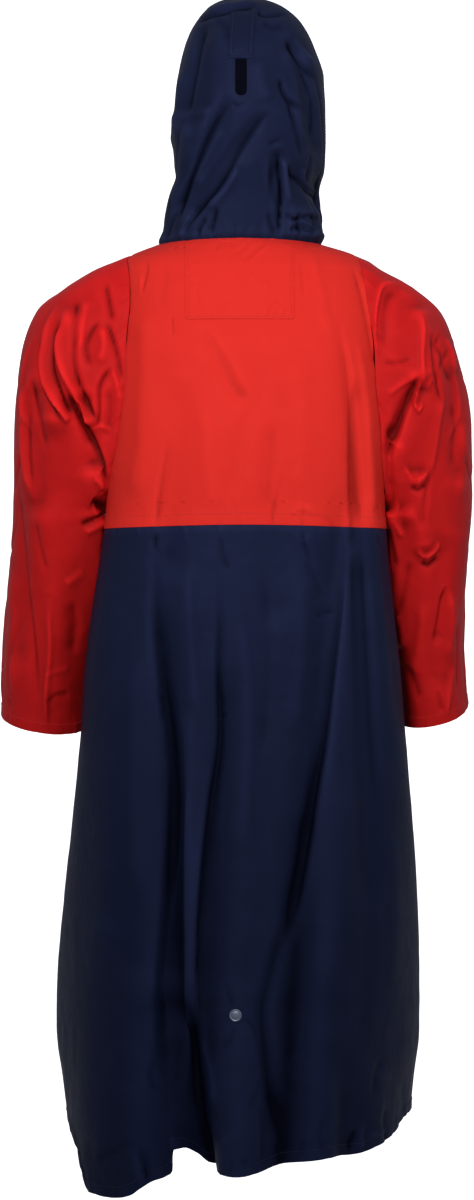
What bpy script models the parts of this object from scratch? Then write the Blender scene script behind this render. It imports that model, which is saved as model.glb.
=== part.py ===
"""Hooded rain poncho with sleeves, filled out as when it is worn, with nobody in it.

Metres, +Z up. The front of the garment faces -Y and its left side is +X. The origin
lies between the shoulders, a little under the neck seam. Every piece of cloth is a thin
closed wall: an outer face worked out from short tables, and an inner face set in by WALL.
"""

import math

import bpy
import numpy as np

# ---------------------------------------------------------------- driving sizes (metres)
WALL = 0.0015               # thickness of the cloth walls
SEAM_GAP = 0.0003           # space left between neighbouring pieces
LAID_ON = 0.0009            # space under what lies on a panel
CLEARANCE = 0.002           # space between a hanging sleeve and the body
NECK_SIDE = 0.034           # height of the neck seam at the sides
NECK_BACK = 0.036           # ... at centre back
NECK_FRONT = -0.045         # ... at centre front
SHOULDER = 0.023            # outer end of the shoulder seam
UNDERARM = -0.272           # lowest point of the armhole
UNDERARM_TUCK = 0.016       # how far the sleeves are drawn in against the body below it
TUCK_START = 0.03           # height in which they come in as far as that
WAIST_CENTRE = -0.295       # seam of yoke and skirt at the centre
WAIST_SIDE = -0.300         # ... at the sides
SIDE_SEAM_END = -1.03       # height at which the skirts' side seams meet the hem
SLEEVE_SQUARE = 2.2         # superellipse power of the sleeves' rings
CROWN_SEAM = 0.66           # where the hood's brim starts, from 0 at the neck to 1 at the face
BUTTON_PLACE = (0.005, -0.846)  # x and z, low at centre back
PATCH = {"left": 0.0627, "right": -0.0614, "top": 0.031, "bottom": -0.061}
TAB = {"left": 0.0119, "right": -0.0161, "top": 0.296, "bottom": 0.2375, "slant": 0.0033}
STRIP = {"left": 0.0055, "right": -0.0075, "top": 0.2365, "bottom": 0.195, "slant": 0.0}

# grid sizes: cells across or round, and cells along
YOKE_BACK_CELLS = 24
YOKE_FRONT_CELLS = 20
ARMHOLE_CELLS = 12
SKIRT_BACK_CELLS = 56
SKIRT_FRONT_CELLS = 32
SKIRT_ROWS = 15
SLEEVE_ROWS = 14
HOOD_ROWS = 9
BRIM_ROWS = 5


def table(columns, *rows):
    """A short table of sizes as {column name: values}; the first column places each row."""
    names = columns.split()
    return {name: np.array([row[i] for row in rows], float) for i, name in enumerate(names)}


# Level sections of the body: half width, and depth behind and in front of the section's
# centre. square is the superellipse power, and taper widens the front against the back.
BODY = table(
    "height shift centre half back front square taper seam",
    (0.040, 0.0000, -0.002, 0.0860, 0.070, 0.030, 2.0, 0.00, 90),
    (0.034, 0.0000, -0.002, 0.0973, 0.077, 0.037, 2.0, 0.00, 90),
    (0.023, -0.0035, -0.003, 0.1285, 0.087, 0.050, 2.1, 0.00, 90),
    (0.013, -0.0040, -0.003, 0.1465, 0.094, 0.062, 2.2, 0.00, 90),
    (0.000, -0.0060, -0.003, 0.1560, 0.101, 0.076, 2.3, 0.00, 90),
    (-0.045, -0.0100, -0.003, 0.1620, 0.116, 0.106, 2.5, 0.00, 90),
    (-0.100, -0.0120, 0.000, 0.1640, 0.126, 0.125, 2.6, 0.00, 90),
    (-0.170, -0.0125, 0.004, 0.1640, 0.129, 0.140, 2.6, 0.00, 90),
    (-0.235, -0.0090, 0.010, 0.1630, 0.126, 0.150, 2.5, 0.00, 92),
    (-0.272, -0.0065, 0.014, 0.1625, 0.122, 0.158, 2.4, -0.03, 97),
    (-0.300, -0.0060, 0.016, 0.1640, 0.121, 0.166, 2.4, -0.06, 99),
    (-0.370, -0.0040, 0.016, 0.1720, 0.125, 0.178, 2.4, -0.08, 101),
    (-0.443, -0.0030, 0.010, 0.1810, 0.136, 0.186, 2.4, -0.08, 102),
    (-0.549, -0.0036, -0.005, 0.1910, 0.160, 0.196, 2.3, -0.05, 103),
    (-0.643, -0.0030, -0.030, 0.2020, 0.193, 0.196, 2.2, 0.00, 104),
    (-0.738, -0.0013, -0.060, 0.2120, 0.230, 0.195, 2.1, 0.04, 106),
    (-0.848, 0.0017, -0.085, 0.2190, 0.262, 0.200, 2.0, 0.08, 109),
    (-0.902, 0.0020, -0.092, 0.2195, 0.273, 0.205, 2.0, 0.10, 111),
    (-0.960, 0.0015, -0.096, 0.2130, 0.282, 0.205, 2.0, 0.11, 113),
    (-1.030, -0.0020, -0.100, 0.2030, 0.290, 0.205, 2.0, 0.12, 114),
    (-1.100, -0.0050, -0.100, 0.1940, 0.290, 0.205, 2.0, 0.12, 114),
)

# Armhole edges of the yokes: turn goes from the shoulder (0) to the underarm (180), and the
# edges are directions round the body from centre back, all in degrees.
ARMHOLE = table(
    "turn back front",
    (0, 90.0, 90.0),
    (15, 77.5, 102.0),
    (30, 67.5, 111.0),
    (45, 63.0, 117.5),
    (60, 61.0, 121.0),
    (90, 61.0, 123.5),
    (120, 66.5, 118.5),
    (135, 71.5, 113.5),
    (150, 78.0, 108.5),
    (165, 87.0, 103.0),
    (180, 97.0, 97.0),
)

# Height of the hem round the body: 0 is centre back, 90 the garment's left.
HEM = table(
    "angle height",
    (-180, -1.030),
    (-105, -1.010),
    (-75, -1.002),
    (-55, -1.012),
    (-46, -1.015),
    (-36, -1.019),
    (-24, -1.015),
    (-10, -1.020),
    (3, -1.026),
    (8, -1.026),
    (12, -1.029),
    (18, -1.028),
    (20, -1.014),
    (21.5, -1.007),
    (22.8, -1.008),
    (23.5, -1.035),
    (26, -1.043),
    (28, -1.052),
    (30, -1.060),
    (34, -1.066),
    (40, -1.069),
    (46, -1.069),
    (52, -1.044),
    (58, -1.025),
    (76, -1.010),
    (105, -1.014),
    (180, -1.030),
)

# Troughs (depth below 0) and ridges (above 0), from a first end to a second, seen square
# on from behind or from in front. bow curves the line sideways; lean makes one flank wide.
FOLD_COLUMNS = "x1 z1 x2 z2 bow width1 width2 depth1 depth2 lean"
BODY_BACK_FOLDS = table(
    FOLD_COLUMNS,
    (0.091, -0.340, 0.079, -0.980, 0.004, 0.014, 0.024, -0.004, -0.030, 0.0),
    (0.079, -0.800, 0.059, -1.140, 0.000, 0.040, 0.034, 0.000, -0.118, 0.0),
    (0.062, -0.480, 0.055, -0.930, 0.000, 0.014, 0.018, 0.004, 0.006, 0.0),
    (0.020, -0.430, 0.046, -0.930, 0.004, 0.016, 0.018, -0.005, -0.014, 0.2),
    (-0.122, -0.240, -0.074, -0.690, -0.006, 0.014, 0.020, -0.005, -0.013, -0.3),
    (-0.074, -0.610, -0.040, -1.200, 0.004, 0.020, 0.030, -0.013, -0.030, -0.2),
    (-0.136, -0.120, -0.134, -0.330, 0.000, 0.008, 0.010, -0.003, -0.008, 0.3),
    (-0.134, -0.300, -0.150, -0.740, 0.000, 0.010, 0.022, -0.008, -0.006, 0.3),
    (0.155, -0.700, 0.152, -1.160, 0.000, 0.040, 0.046, 0.000, 0.034, 0.0),
    (0.010, -0.700, 0.012, -1.160, 0.000, 0.030, 0.030, 0.000, 0.016, 0.0),
    (0.116, -0.760, 0.098, -1.160, 0.000, 0.016, 0.021, 0.000, 0.028, 0.0),
    (-0.118, -0.860, -0.128, -1.180, 0.000, 0.014, 0.016, 0.000, -0.016, 0.2),
    (-0.160, -0.900, -0.168, -1.180, 0.000, 0.016, 0.018, 0.000, 0.012, 0.0),
    (0.110, -0.040, 0.118, -0.270, 0.000, 0.014, 0.014, 0.003, 0.004, 0.0),
    (0.070, -0.120, 0.085, -0.360, 0.000, 0.020, 0.020, -0.003, -0.004, 0.0),
    (-0.045, -0.120, -0.040, -0.420, 0.000, 0.022, 0.022, -0.003, -0.004, 0.0),
)
BODY_FRONT_FOLDS = table(
    FOLD_COLUMNS,
    (0.100, -0.300, 0.125, -1.200, 0.006, 0.016, 0.030, -0.006, -0.046, 0.1),
    (0.035, -0.360, 0.048, -1.200, -0.004, 0.016, 0.026, -0.004, -0.036, -0.1),
    (-0.030, -0.330, -0.036, -1.200, 0.003, 0.016, 0.028, -0.005, -0.030, 0.2),
    (-0.100, -0.300, -0.128, -1.200, -0.005, 0.016, 0.028, -0.006, -0.044, 0.0),
    (0.000, -0.120, 0.004, -0.420, 0.000, 0.026, 0.024, -0.004, -0.006, 0.0),
    (0.085, -0.110, 0.075, -0.330, 0.000, 0.016, 0.018, -0.003, -0.006, 0.0),
    (-0.080, -0.110, -0.072, -0.330, 0.000, 0.016, 0.018, -0.003, -0.006, 0.0),
)

# Sleeves: rings from the armhole (along 0) to the cuff (along 1), each between a point on
# the outer line and one on the inner line, with its depth behind and in front of them.
# The x values are distances from the middle of the body on either side.
SLEEVE_COLUMNS = "along outer_x outer_y outer_z inner_x inner_y inner_z back front lean"
SLEEVE_LEFT = table(
    SLEEVE_COLUMNS,
    (0.00, 0.1250, -0.003, 0.0230, 0.1555, -0.004, -0.272, 0.084, 0.088, 0),
    (0.08, 0.1656, -0.006, 0.0068, 0.1660, -0.012, -0.281, 0.088, 0.090, 0),
    (0.16, 0.2063, -0.012, -0.0163, 0.1680, -0.027, -0.297, 0.092, 0.092, 1),
    (0.25, 0.2402, -0.022, -0.0428, 0.1670, -0.046, -0.320, 0.095, 0.093, 2),
    (0.36, 0.2585, -0.033, -0.0887, 0.1670, -0.065, -0.353, 0.096, 0.094, 4),
    (0.50, 0.2679, -0.048, -0.1692, 0.1700, -0.081, -0.397, 0.095, 0.094, 6),
    (0.64, 0.2714, -0.065, -0.2648, 0.1730, -0.094, -0.441, 0.093, 0.092, 8),
    (0.78, 0.2785, -0.080, -0.3611, 0.1770, -0.099, -0.480, 0.090, 0.090, 9),
    (0.90, 0.2856, -0.093, -0.4460, 0.1800, -0.103, -0.511, 0.087, 0.087, 10),
    (1.00, 0.2888, -0.102, -0.5205, 0.1830, -0.106, -0.535, 0.084, 0.084, 10),
)
SLEEVE_RIGHT = table(
    SLEEVE_COLUMNS,
    (0.00, 0.1320, -0.003, 0.0230, 0.1685, -0.004, -0.272, 0.084, 0.088, 0),
    (0.08, 0.1634, -0.006, 0.0050, 0.1790, -0.012, -0.281, 0.088, 0.090, 0),
    (0.16, 0.2052, -0.012, -0.0163, 0.1805, -0.027, -0.297, 0.092, 0.092, 1),
    (0.25, 0.2380, -0.022, -0.0451, 0.1790, -0.046, -0.320, 0.095, 0.093, 2),
    (0.36, 0.2575, -0.033, -0.0935, 0.1785, -0.065, -0.353, 0.096, 0.094, 4),
    (0.50, 0.2753, -0.048, -0.1692, 0.1800, -0.081, -0.397, 0.095, 0.094, 6),
    (0.64, 0.2776, -0.065, -0.2648, 0.1820, -0.094, -0.441, 0.093, 0.092, 8),
    (0.78, 0.2715, -0.080, -0.3611, 0.1850, -0.099, -0.478, 0.090, 0.090, 9),
    (0.90, 0.2689, -0.093, -0.4340, 0.1870, -0.103, -0.506, 0.087, 0.087, 10),
    (1.00, 0.2758, -0.102, -0.5095, 0.1890, -0.106, -0.528, 0.084, 0.084, 10),
)
SLEEVE_LEFT_FOLDS = table(
    FOLD_COLUMNS,
    (0.195, -0.040, 0.225, -0.190, 0.010, 0.016, 0.016, 0.007, 0.006, 0.0),
    (0.187, -0.140, 0.168, -0.238, 0.000, 0.014, 0.014, -0.008, -0.010, 0.0),
    (0.242, -0.120, 0.236, -0.290, 0.000, 0.014, 0.014, -0.005, -0.005, 0.0),
    (0.225, -0.250, 0.222, -0.520, 0.004, 0.018, 0.014, 0.005, 0.007, 0.2),
    (0.258, -0.240, 0.262, -0.470, 0.000, 0.012, 0.014, -0.004, -0.005, 0.0),
)
SLEEVE_RIGHT_FOLDS = table(
    FOLD_COLUMNS,
    (-0.205, -0.040, -0.216, -0.130, 0.004, 0.012, 0.012, 0.006, 0.006, 0.0),
    (-0.212, -0.125, -0.172, -0.200, 0.000, 0.014, 0.014, -0.008, -0.008, 0.0),
    (-0.200, -0.230, -0.215, -0.330, 0.004, 0.014, 0.014, 0.006, 0.006, 0.0),
    (-0.240, -0.300, -0.232, -0.500, 0.000, 0.016, 0.016, -0.006, -0.006, 0.2),
    (-0.250, -0.100, -0.256, -0.250, 0.000, 0.012, 0.014, -0.004, -0.004, 0.0),
)

# Hood: rings from the neck seam (along 0) to the face edge (along 1), hinged at the chin.
# left and right are half widths, and shift moves the ring's middle sideways.
HOOD = table(
    "along outer_y outer_z inner_y inner_z left right shift square",
    (0.00, 0.073, 0.036, -0.109, -0.045, 0.0960, 0.0965, 0.000, 2.0),
    (0.09, 0.080, 0.082, -0.112, -0.036, 0.0900, 0.0890, -0.001, 2.1),
    (0.20, 0.093, 0.132, -0.115, -0.026, 0.0850, 0.0845, -0.001, 2.2),
    (0.32, 0.103, 0.190, -0.118, -0.016, 0.0790, 0.0880, -0.001, 2.4),
    (0.45, 0.098, 0.248, -0.120, -0.007, 0.0800, 0.0960, -0.002, 2.5),
    (0.56, 0.073, 0.291, -0.121, 0.001, 0.0810, 0.0980, -0.003, 2.6),
    (0.66, 0.034, 0.316, -0.121, 0.008, 0.0810, 0.0980, -0.004, 2.6),
    (0.76, -0.010, 0.3245, -0.120, 0.015, 0.0800, 0.0960, -0.004, 2.5),
    (0.88, -0.060, 0.316, -0.119, 0.021, 0.0770, 0.0900, -0.004, 2.4),
    (1.00, -0.104, 0.294, -0.118, 0.026, 0.0740, 0.0830, -0.003, 2.2),
)
HOOD_FOLDS = table(
    FOLD_COLUMNS,
    (0.040, 0.300, 0.056, 0.150, 0.004, 0.010, 0.012, -0.005, -0.005, 0.0),
    (0.012, 0.200, 0.078, 0.060, 0.006, 0.010, 0.012, -0.003, -0.006, 0.3),
    (-0.034, 0.180, 0.062, 0.050, -0.006, 0.010, 0.012, -0.003, -0.006, 0.3),
    (-0.044, 0.140, -0.044, 0.050, 0.000, 0.008, 0.010, -0.004, -0.003, 0.0),
    (-0.055, 0.270, -0.086, 0.130, 0.006, 0.010, 0.010, -0.005, -0.004, 0.0),
)

# colours as linear red, green, blue; then roughness and metallic value
RED = ((0.70, 0.030, 0.022, 1.0), 0.45, 0.0)
DARK_RED = ((0.42, 0.012, 0.012, 1.0), 0.45, 0.0)
NAVY = ((0.010, 0.013, 0.035, 1.0), 0.42, 0.0)
BLACK = ((0.004, 0.004, 0.010, 1.0), 0.85, 0.0)
STEEL = ((0.16, 0.18, 0.23, 1.0), 0.35, 0.8)


# ------------------------------------------------------------------------------- helpers
def smooth(t):
    """0 below 0, 1 above 1, with a soft turn at both."""
    t = np.clip(t, 0.0, 1.0)
    return t * t * (3.0 - 2.0 * t)


def read(rows, column, at):
    """A column's value at a place: a smooth curve through the rows that never overshoots."""
    place = next(iter(rows.values()))
    order = np.argsort(place)
    x = place[order]
    y = rows[column][order]
    step = np.diff(x)
    rise = np.diff(y) / step
    slope = np.zeros_like(y)
    slope[0] = rise[0]
    slope[-1] = rise[-1]
    near = 2 * step[1:] + step[:-1]
    far = step[1:] + 2 * step[:-1]
    same_way = rise[:-1] * rise[1:] > 0
    before = np.where(same_way, rise[:-1], 1.0)
    after = np.where(same_way, rise[1:], 1.0)
    slope[1:-1] = np.where(same_way, (near + far) / (near / before + far / after), 0.0)
    at = np.clip(at, x[0], x[-1])
    i = np.clip(np.searchsorted(x, at, side="right") - 1, 0, len(step) - 1)
    t = (at - x[i]) / step[i]
    start = (1 + 2 * t) * (1 - t) ** 2 * y[i] + t * (1 - t) ** 2 * step[i] * slope[i]
    end = t * t * (3 - 2 * t) * y[i + 1] + t * t * (t - 1) * step[i] * slope[i + 1]
    return start + end


def fold_height(folds, x, z):
    """How far the folds lift the cloth at x, z: troughs are below 0 and ridges above."""
    total = np.zeros_like(x)
    for i in range(len(folds["x1"])):
        f = {name: column[i] for name, column in folds.items()}
        run = np.array([f["x2"] - f["x1"], f["z2"] - f["z1"]])
        length = math.hypot(*run)
        t = ((x - f["x1"]) * run[0] + (z - f["z1"]) * run[1]) / length**2
        inside = np.clip(t, 0.0, 1.0)
        off = ((x - f["x1"]) * run[1] - (z - f["z1"]) * run[0]) / length
        off = off - f["bow"] * 4 * inside * (1 - inside)
        width = f["width1"] + (f["width2"] - f["width1"]) * inside
        width = width * (1 + f["lean"] * np.tanh(off / width))
        depth = f["depth1"] + (f["depth2"] - f["depth1"]) * inside
        ends = smooth(t / 0.14) * smooth((1 - t) / 0.14)
        total = total + depth * ends * np.exp(-((off / width) ** 2))
    return total


def unit(vectors):
    return vectors / np.linalg.norm(vectors, axis=-1, keepdims=True)


def normals_of(surface, across, along, step=1e-3):
    """Outward normals of surface(across, along), from small steps both ways."""
    by_across = surface(across + step, along) - surface(across - step, along)
    by_along = surface(across, along + step) - surface(across, along - step)
    return unit(np.cross(by_across, by_along))


def tube_normals(surface, turn, along):
    """Normals of a sleeve or hood, taken just inside its ends."""
    return normals_of(surface, turn, np.clip(along, 2e-3, 1 - 2e-3))


def mitre(first, second):
    """Joint offset for two faces that meet at a seam, as long as keeps both walls' depth."""
    cosine = np.sum(first * second, axis=-1, keepdims=True)
    return (first + second) / (1.0 + np.maximum(cosine, -0.3))


def even_steps(row, count):
    """Places from -1 to 1 along a row of cloth that part it into equal lengths."""
    fine = np.linspace(-1.0, 1.0, 601)
    points = row(fine)
    lengths = np.linalg.norm(np.diff(points, axis=0), axis=1)
    travelled = np.concatenate([[0.0], np.cumsum(lengths)])
    return np.interp(np.linspace(0.0, travelled[-1], count + 1), travelled, fine)


# ---------------------------------------------------------------------------------- body
def body(angle, height):
    """Outer face of yokes and skirts; angle is 0 at centre back and 90 degrees at +X."""
    s = np.sin(angle)
    c = np.cos(angle)
    half = read(BODY, "half", height)
    depth = np.where(c > 0, read(BODY, "back", height), read(BODY, "front", height))
    power = read(BODY, "square", height)
    reach = (np.abs(s / half) ** power + np.abs(c / depth) ** power) ** (-1.0 / power)
    x = reach * s
    y = reach * c
    out_x = np.sign(x) * np.abs(x / half) ** (power - 1) / half
    out_y = np.sign(y) * np.abs(y / depth) ** (power - 1) / depth
    size = np.hypot(out_x, out_y)
    x = read(BODY, "shift", height) + x * (1 - read(BODY, "taper", height) * y / depth)
    y = read(BODY, "centre", height) + y
    behind = smooth((c + 0.25) / 0.5)
    lift = fold_height(BODY_BACK_FOLDS, x, height) * behind
    lift = lift + fold_height(BODY_FRONT_FOLDS, x, height) * (1 - behind)
    return np.stack([x + lift * out_x / size, y + lift * out_y / size, height], axis=-1)


def body_normals(angle, height):
    return -normals_of(body, angle, height)


def panel_angle(side, place, edge):
    """Direction at a place from -1 to 1 across a panel whose edges lie at +-edge."""
    if side == "back":
        return place * edge
    return math.pi - place * (math.pi - edge)


def panel_place(side, angle):
    """Where a direction lies between centre (0) and side (1) of a panel, past 1 if beyond."""
    from_centre = np.abs(angle) if side == "back" else np.abs(math.pi - angle)
    return np.clip(from_centre / (math.pi / 2), 0.0, 1.0)


def neck_height(side, place):
    """Height of the neck seam; place goes from 0 at the centre to +-1 at the sides."""
    top = NECK_BACK if side == "back" else NECK_FRONT
    return top + (NECK_SIDE - top) * np.sin(place * math.pi / 2) ** 2


def waist_height(place):
    return WAIST_CENTRE + (WAIST_SIDE - WAIST_CENTRE) * np.sin(place * math.pi / 2) ** 2


def yoke_rows():
    """Each row of the yokes as its edge's height and turn round the armhole, in radians."""
    middle = (SHOULDER + UNDERARM) / 2
    half = (SHOULDER - UNDERARM) / 2
    turns = np.linspace(0.0, math.pi, ARMHOLE_CELLS + 1)
    return [(NECK_SIDE, None), *zip(middle + half * np.cos(turns), turns), (WAIST_SIDE, None)]


def yoke_grid(side, cells):
    """Directions and heights of a yoke's grid: rows down from the neck, columns across."""
    angles = []
    heights = []
    for edge_height, turn in yoke_rows():
        if turn is None:
            degrees = 90.0 if edge_height == NECK_SIDE else read(BODY, "seam", edge_height)
        else:
            degrees = read(ARMHOLE, side, np.degrees(turn))
        edge = np.radians(degrees)
        down = (NECK_SIDE - edge_height) / (NECK_SIDE - WAIST_SIDE)

        def place_on_row(place, edge=edge, down=down, edge_height=edge_height):
            angle = panel_angle(side, place, edge)
            round_neck = panel_place(side, angle)
            blend = neck_height(side, round_neck) * (1 - down) + waist_height(place) * down
            at_edge = panel_place(side, panel_angle(side, 1.0, edge))
            edge_blend = neck_height(side, at_edge) * (1 - down) + WAIST_SIDE * down
            return angle, blend + (edge_height - edge_blend) * place**4

        places = even_steps(lambda place: body(*place_on_row(place)), cells)
        angle, height = place_on_row(places)
        angles.append(angle)
        heights.append(height)
    return np.array(angles), np.array(heights)


def skirt_grid(side, cells):
    """Directions and heights of a skirt's grid: rows down from the waist seam to the hem."""
    angles = []
    heights = []
    for part in np.linspace(0.0, 1.0, SKIRT_ROWS + 1):

        def place_on_row(place, part=part):
            waist = waist_height(place)
            edge = np.radians(read(BODY, "seam", waist + (SIDE_SEAM_END - waist) * part))
            angle = panel_angle(side, place, edge)
            turned = (np.degrees(angle) + 180.0) % 360.0 - 180.0
            return angle, waist + (read(HEM, "height", turned) - waist) * part

        places = even_steps(lambda place: body(*place_on_row(place)), cells)
        angle, height = place_on_row(places)
        angles.append(angle)
        heights.append(height)
    return np.array(angles), np.array(heights)


# ------------------------------------------------------------------------ sleeves and hood
def ring(turn, power):
    """Unit superellipse: part of the way towards the outer point, and sideways."""
    c = np.cos(turn)
    s = np.sin(turn)
    reach = (np.abs(c) ** power + np.abs(s) ** power) ** (-1.0 / power)
    return reach * c, reach * s


def armhole(turn, sign):
    """The armhole as a closed loop: turn 0 is the shoulder, 90 degrees the back edge."""
    height = (SHOULDER + UNDERARM) / 2 + (SHOULDER - UNDERARM) / 2 * np.cos(turn)
    from_top = np.degrees(np.arccos(np.clip(np.cos(turn), -1.0, 1.0)))
    back = read(ARMHOLE, "back", from_top)
    front = read(ARMHOLE, "front", from_top)
    angle = sign * np.radians(np.where(np.sin(turn) >= 0, back, front))
    return body(angle, height), body_normals(angle, height)


def sleeve_base(rows, sign, turn, along):
    outer = np.stack([sign * read(rows, "outer_x", along), read(rows, "outer_y", along),
                      read(rows, "outer_z", along)], axis=-1)
    inner = np.stack([sign * read(rows, "inner_x", along), read(rows, "inner_y", along),
                      read(rows, "inner_z", along)], axis=-1)
    out, side = ring(turn, SLEEVE_SQUARE)
    depth = side * np.where(side > 0, read(rows, "back", along), read(rows, "front", along))
    lean = np.radians(read(rows, "lean", along))
    point = (outer + inner) / 2 + (outer - inner) / 2 * out[..., None]
    point = point + np.stack([0 * depth, depth * np.cos(lean), -depth * np.sin(lean)], axis=-1)
    return point


def clear_of_body(point, sign, along):
    """Keeps a sleeve's cloth just outside the side of the body that it hangs against."""
    x, y, z = point[..., 0], point[..., 1], point[..., 2]
    y = y - read(BODY, "centre", z)
    depth = np.where(y > 0, read(BODY, "back", z), read(BODY, "front", z))
    power = read(BODY, "square", z)
    inside = np.clip(1 - np.abs(y / depth) ** power, 0.0, 1.0)
    side = read(BODY, "half", z) * inside ** (1 / power) * (1 - read(BODY, "taper", z) * y / depth)
    away = sign * (x - read(BODY, "shift", z)) - side - CLEARANCE
    kept = (away + np.sqrt(away**2 + (2 * CLEARANCE) ** 2)) / 2
    pushed = (kept - away) * smooth(along / 0.05)
    return point + np.stack([sign * pushed, 0 * pushed, 0 * pushed], axis=-1)


def sleeve(rows, folds, sign):
    """Outer face of a sleeve as a function of the turn round it and the way along it."""
    def plain(turn, along):
        point = sleeve_base(rows, sign, turn, along)
        start = armhole(turn, sign)[0] - sleeve_base(rows, sign, turn, 0 * along)
        point = point + start * (1 - smooth(along / 0.26))[..., None]
        # the inner side comes in against the body from just below the armhole
        tuck = UNDERARM_TUCK * smooth((-0.2 - np.cos(turn)) / 0.6) * smooth((0.75 - along) / 0.35)
        tuck = tuck * smooth((UNDERARM - point[..., 2]) / TUCK_START) ** 1.3
        point = point - np.stack([sign * tuck, 0 * tuck, 0 * tuck], axis=-1)
        return clear_of_body(point, sign, along)

    def folded(turn, along):
        point = plain(turn, along)
        out = -sign * tube_normals(plain, turn, along)
        behind = smooth((out[..., 1] + 0.1) / 0.5)
        lift = fold_height(folds, point[..., 0], point[..., 2]) * behind
        in_front = fold_height(folds, point[..., 0], point[..., 2] + 0.03)
        lift = lift + in_front * smooth((-out[..., 1] + 0.1) / 0.5)
        return point + out * (lift * smooth(along / 0.15))[..., None]

    return folded


def neck_loop(turn):
    """The neck seam as a closed loop: turn 0 is centre back, 90 degrees the left side."""
    turn = (turn + math.pi) % (2 * math.pi) - math.pi
    at_back = np.abs(turn) <= math.pi / 2
    place = np.where(at_back, turn, math.pi - np.abs(turn)) / (math.pi / 2)
    place = np.where(at_back, place, place * np.where(turn < 0, -1.0, 1.0))
    angle = np.zeros_like(turn)
    height = np.zeros_like(turn)
    for side, mask in (("back", at_back), ("front", ~at_back)):

        def row(at, side=side):
            return panel_angle(side, at, math.pi / 2), neck_height(side, at)

        fine = even_steps(lambda at: body(*row(at)), 400)
        even = np.interp(place, np.linspace(-1.0, 1.0, 401), fine)
        side_angle, side_height = row(even)
        angle = np.where(mask, side_angle, angle)
        height = np.where(mask, side_height, height)
    return body(angle, height), body_normals(angle, height)


def hood_base(turn, along):
    out, side = ring(turn, read(HOOD, "square", along))
    width = side * np.where(side > 0, read(HOOD, "left", along), read(HOOD, "right", along))
    outer_y = read(HOOD, "outer_y", along)
    outer_z = read(HOOD, "outer_z", along)
    inner_y = read(HOOD, "inner_y", along)
    inner_z = read(HOOD, "inner_z", along)
    y = (outer_y + inner_y) / 2 + (outer_y - inner_y) / 2 * out
    z = (outer_z + inner_z) / 2 + (outer_z - inner_z) / 2 * out
    return np.stack([read(HOOD, "shift", along) + width, y, z], axis=-1)


def hood_plain(turn, along):
    start = neck_loop(turn)[0] - hood_base(turn, 0 * along)
    return hood_base(turn, along) + start * (1 - smooth(along / 0.5))[..., None]


def hood(turn, along):
    """Outer face of the hood: turn 0 is centre back, along 0 the neck and 1 the face."""
    point = hood_plain(turn, along)
    out = -tube_normals(hood_plain, turn, along)
    behind = smooth((out[..., 1] + 0.1) / 0.5)
    lift = fold_height(HOOD_FOLDS, point[..., 0], point[..., 2]) * behind
    return point + out * (lift * smooth(along / 0.12))[..., None]


# -------------------------------------------------------------------------- making meshes
def material(name, finish):
    colour, roughness, metallic = finish
    made = bpy.data.materials.new(name)
    made.use_nodes = True
    shader = made.node_tree.nodes["Principled BSDF"]
    shader.inputs["Base Color"].default_value = colour
    shader.inputs["Roughness"].default_value = roughness
    shader.inputs["Metallic"].default_value = metallic
    made.diffuse_color = colour
    return made


def pull_in(grid, axis, end, distance):
    """Moves a border of a grid of points inwards by a distance, along the cloth."""
    edge = [slice(None)] * 3
    beside = [slice(None)] * 3
    edge[axis] = 0 if end == "first" else -1
    beside[axis] = 1 if end == "first" else -2
    way = unit(grid[tuple(beside)] - grid[tuple(edge)])
    grid[tuple(edge)] = grid[tuple(edge)] + way * distance


def wall_object(name, outer, inner, finish, closed_round=False):
    """A thin closed wall between two grids of points, as one object."""
    rows, columns = outer.shape[:2]
    points = np.concatenate([outer.reshape(-1, 3), inner.reshape(-1, 3)])
    across = columns if closed_round else columns - 1

    def outside(r, c):
        return r * columns + c % columns

    def inside(r, c):
        return rows * columns + r * columns + c % columns

    faces = []
    for r in range(rows - 1):
        for c in range(across):
            faces.append((outside(r, c), outside(r, c + 1), outside(r + 1, c + 1), outside(r + 1, c)))
            faces.append((inside(r, c), inside(r + 1, c), inside(r + 1, c + 1), inside(r, c + 1)))
    for c in range(across):
        last = rows - 1
        faces.append((outside(0, c + 1), outside(0, c), inside(0, c), inside(0, c + 1)))
        faces.append((outside(last, c), outside(last, c + 1), inside(last, c + 1), inside(last, c)))
    if not closed_round:
        for r in range(rows - 1):
            last = columns - 1
            faces.append((outside(r, 0), outside(r + 1, 0), inside(r + 1, 0), inside(r, 0)))
            faces.append((outside(r + 1, last), outside(r, last), inside(r, last), inside(r + 1, last)))
    mesh = bpy.data.meshes.new(name)
    mesh.from_pydata([tuple(p) for p in points], [], faces)
    mesh.validate()
    corner = outer[0, 0]
    first = np.cross(outer[0, 1] - corner, outer[1, 0] - corner)
    if np.dot(first, inner[0, 0] - corner) > 0:
        mesh.flip_normals()
    mesh.shade_smooth()
    mesh.set_sharp_from_angle(angle=math.radians(50.0))
    mesh.materials.append(material(name, finish))
    made = bpy.data.objects.new(name, mesh)
    bpy.context.scene.collection.objects.link(made)
    return made


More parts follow.
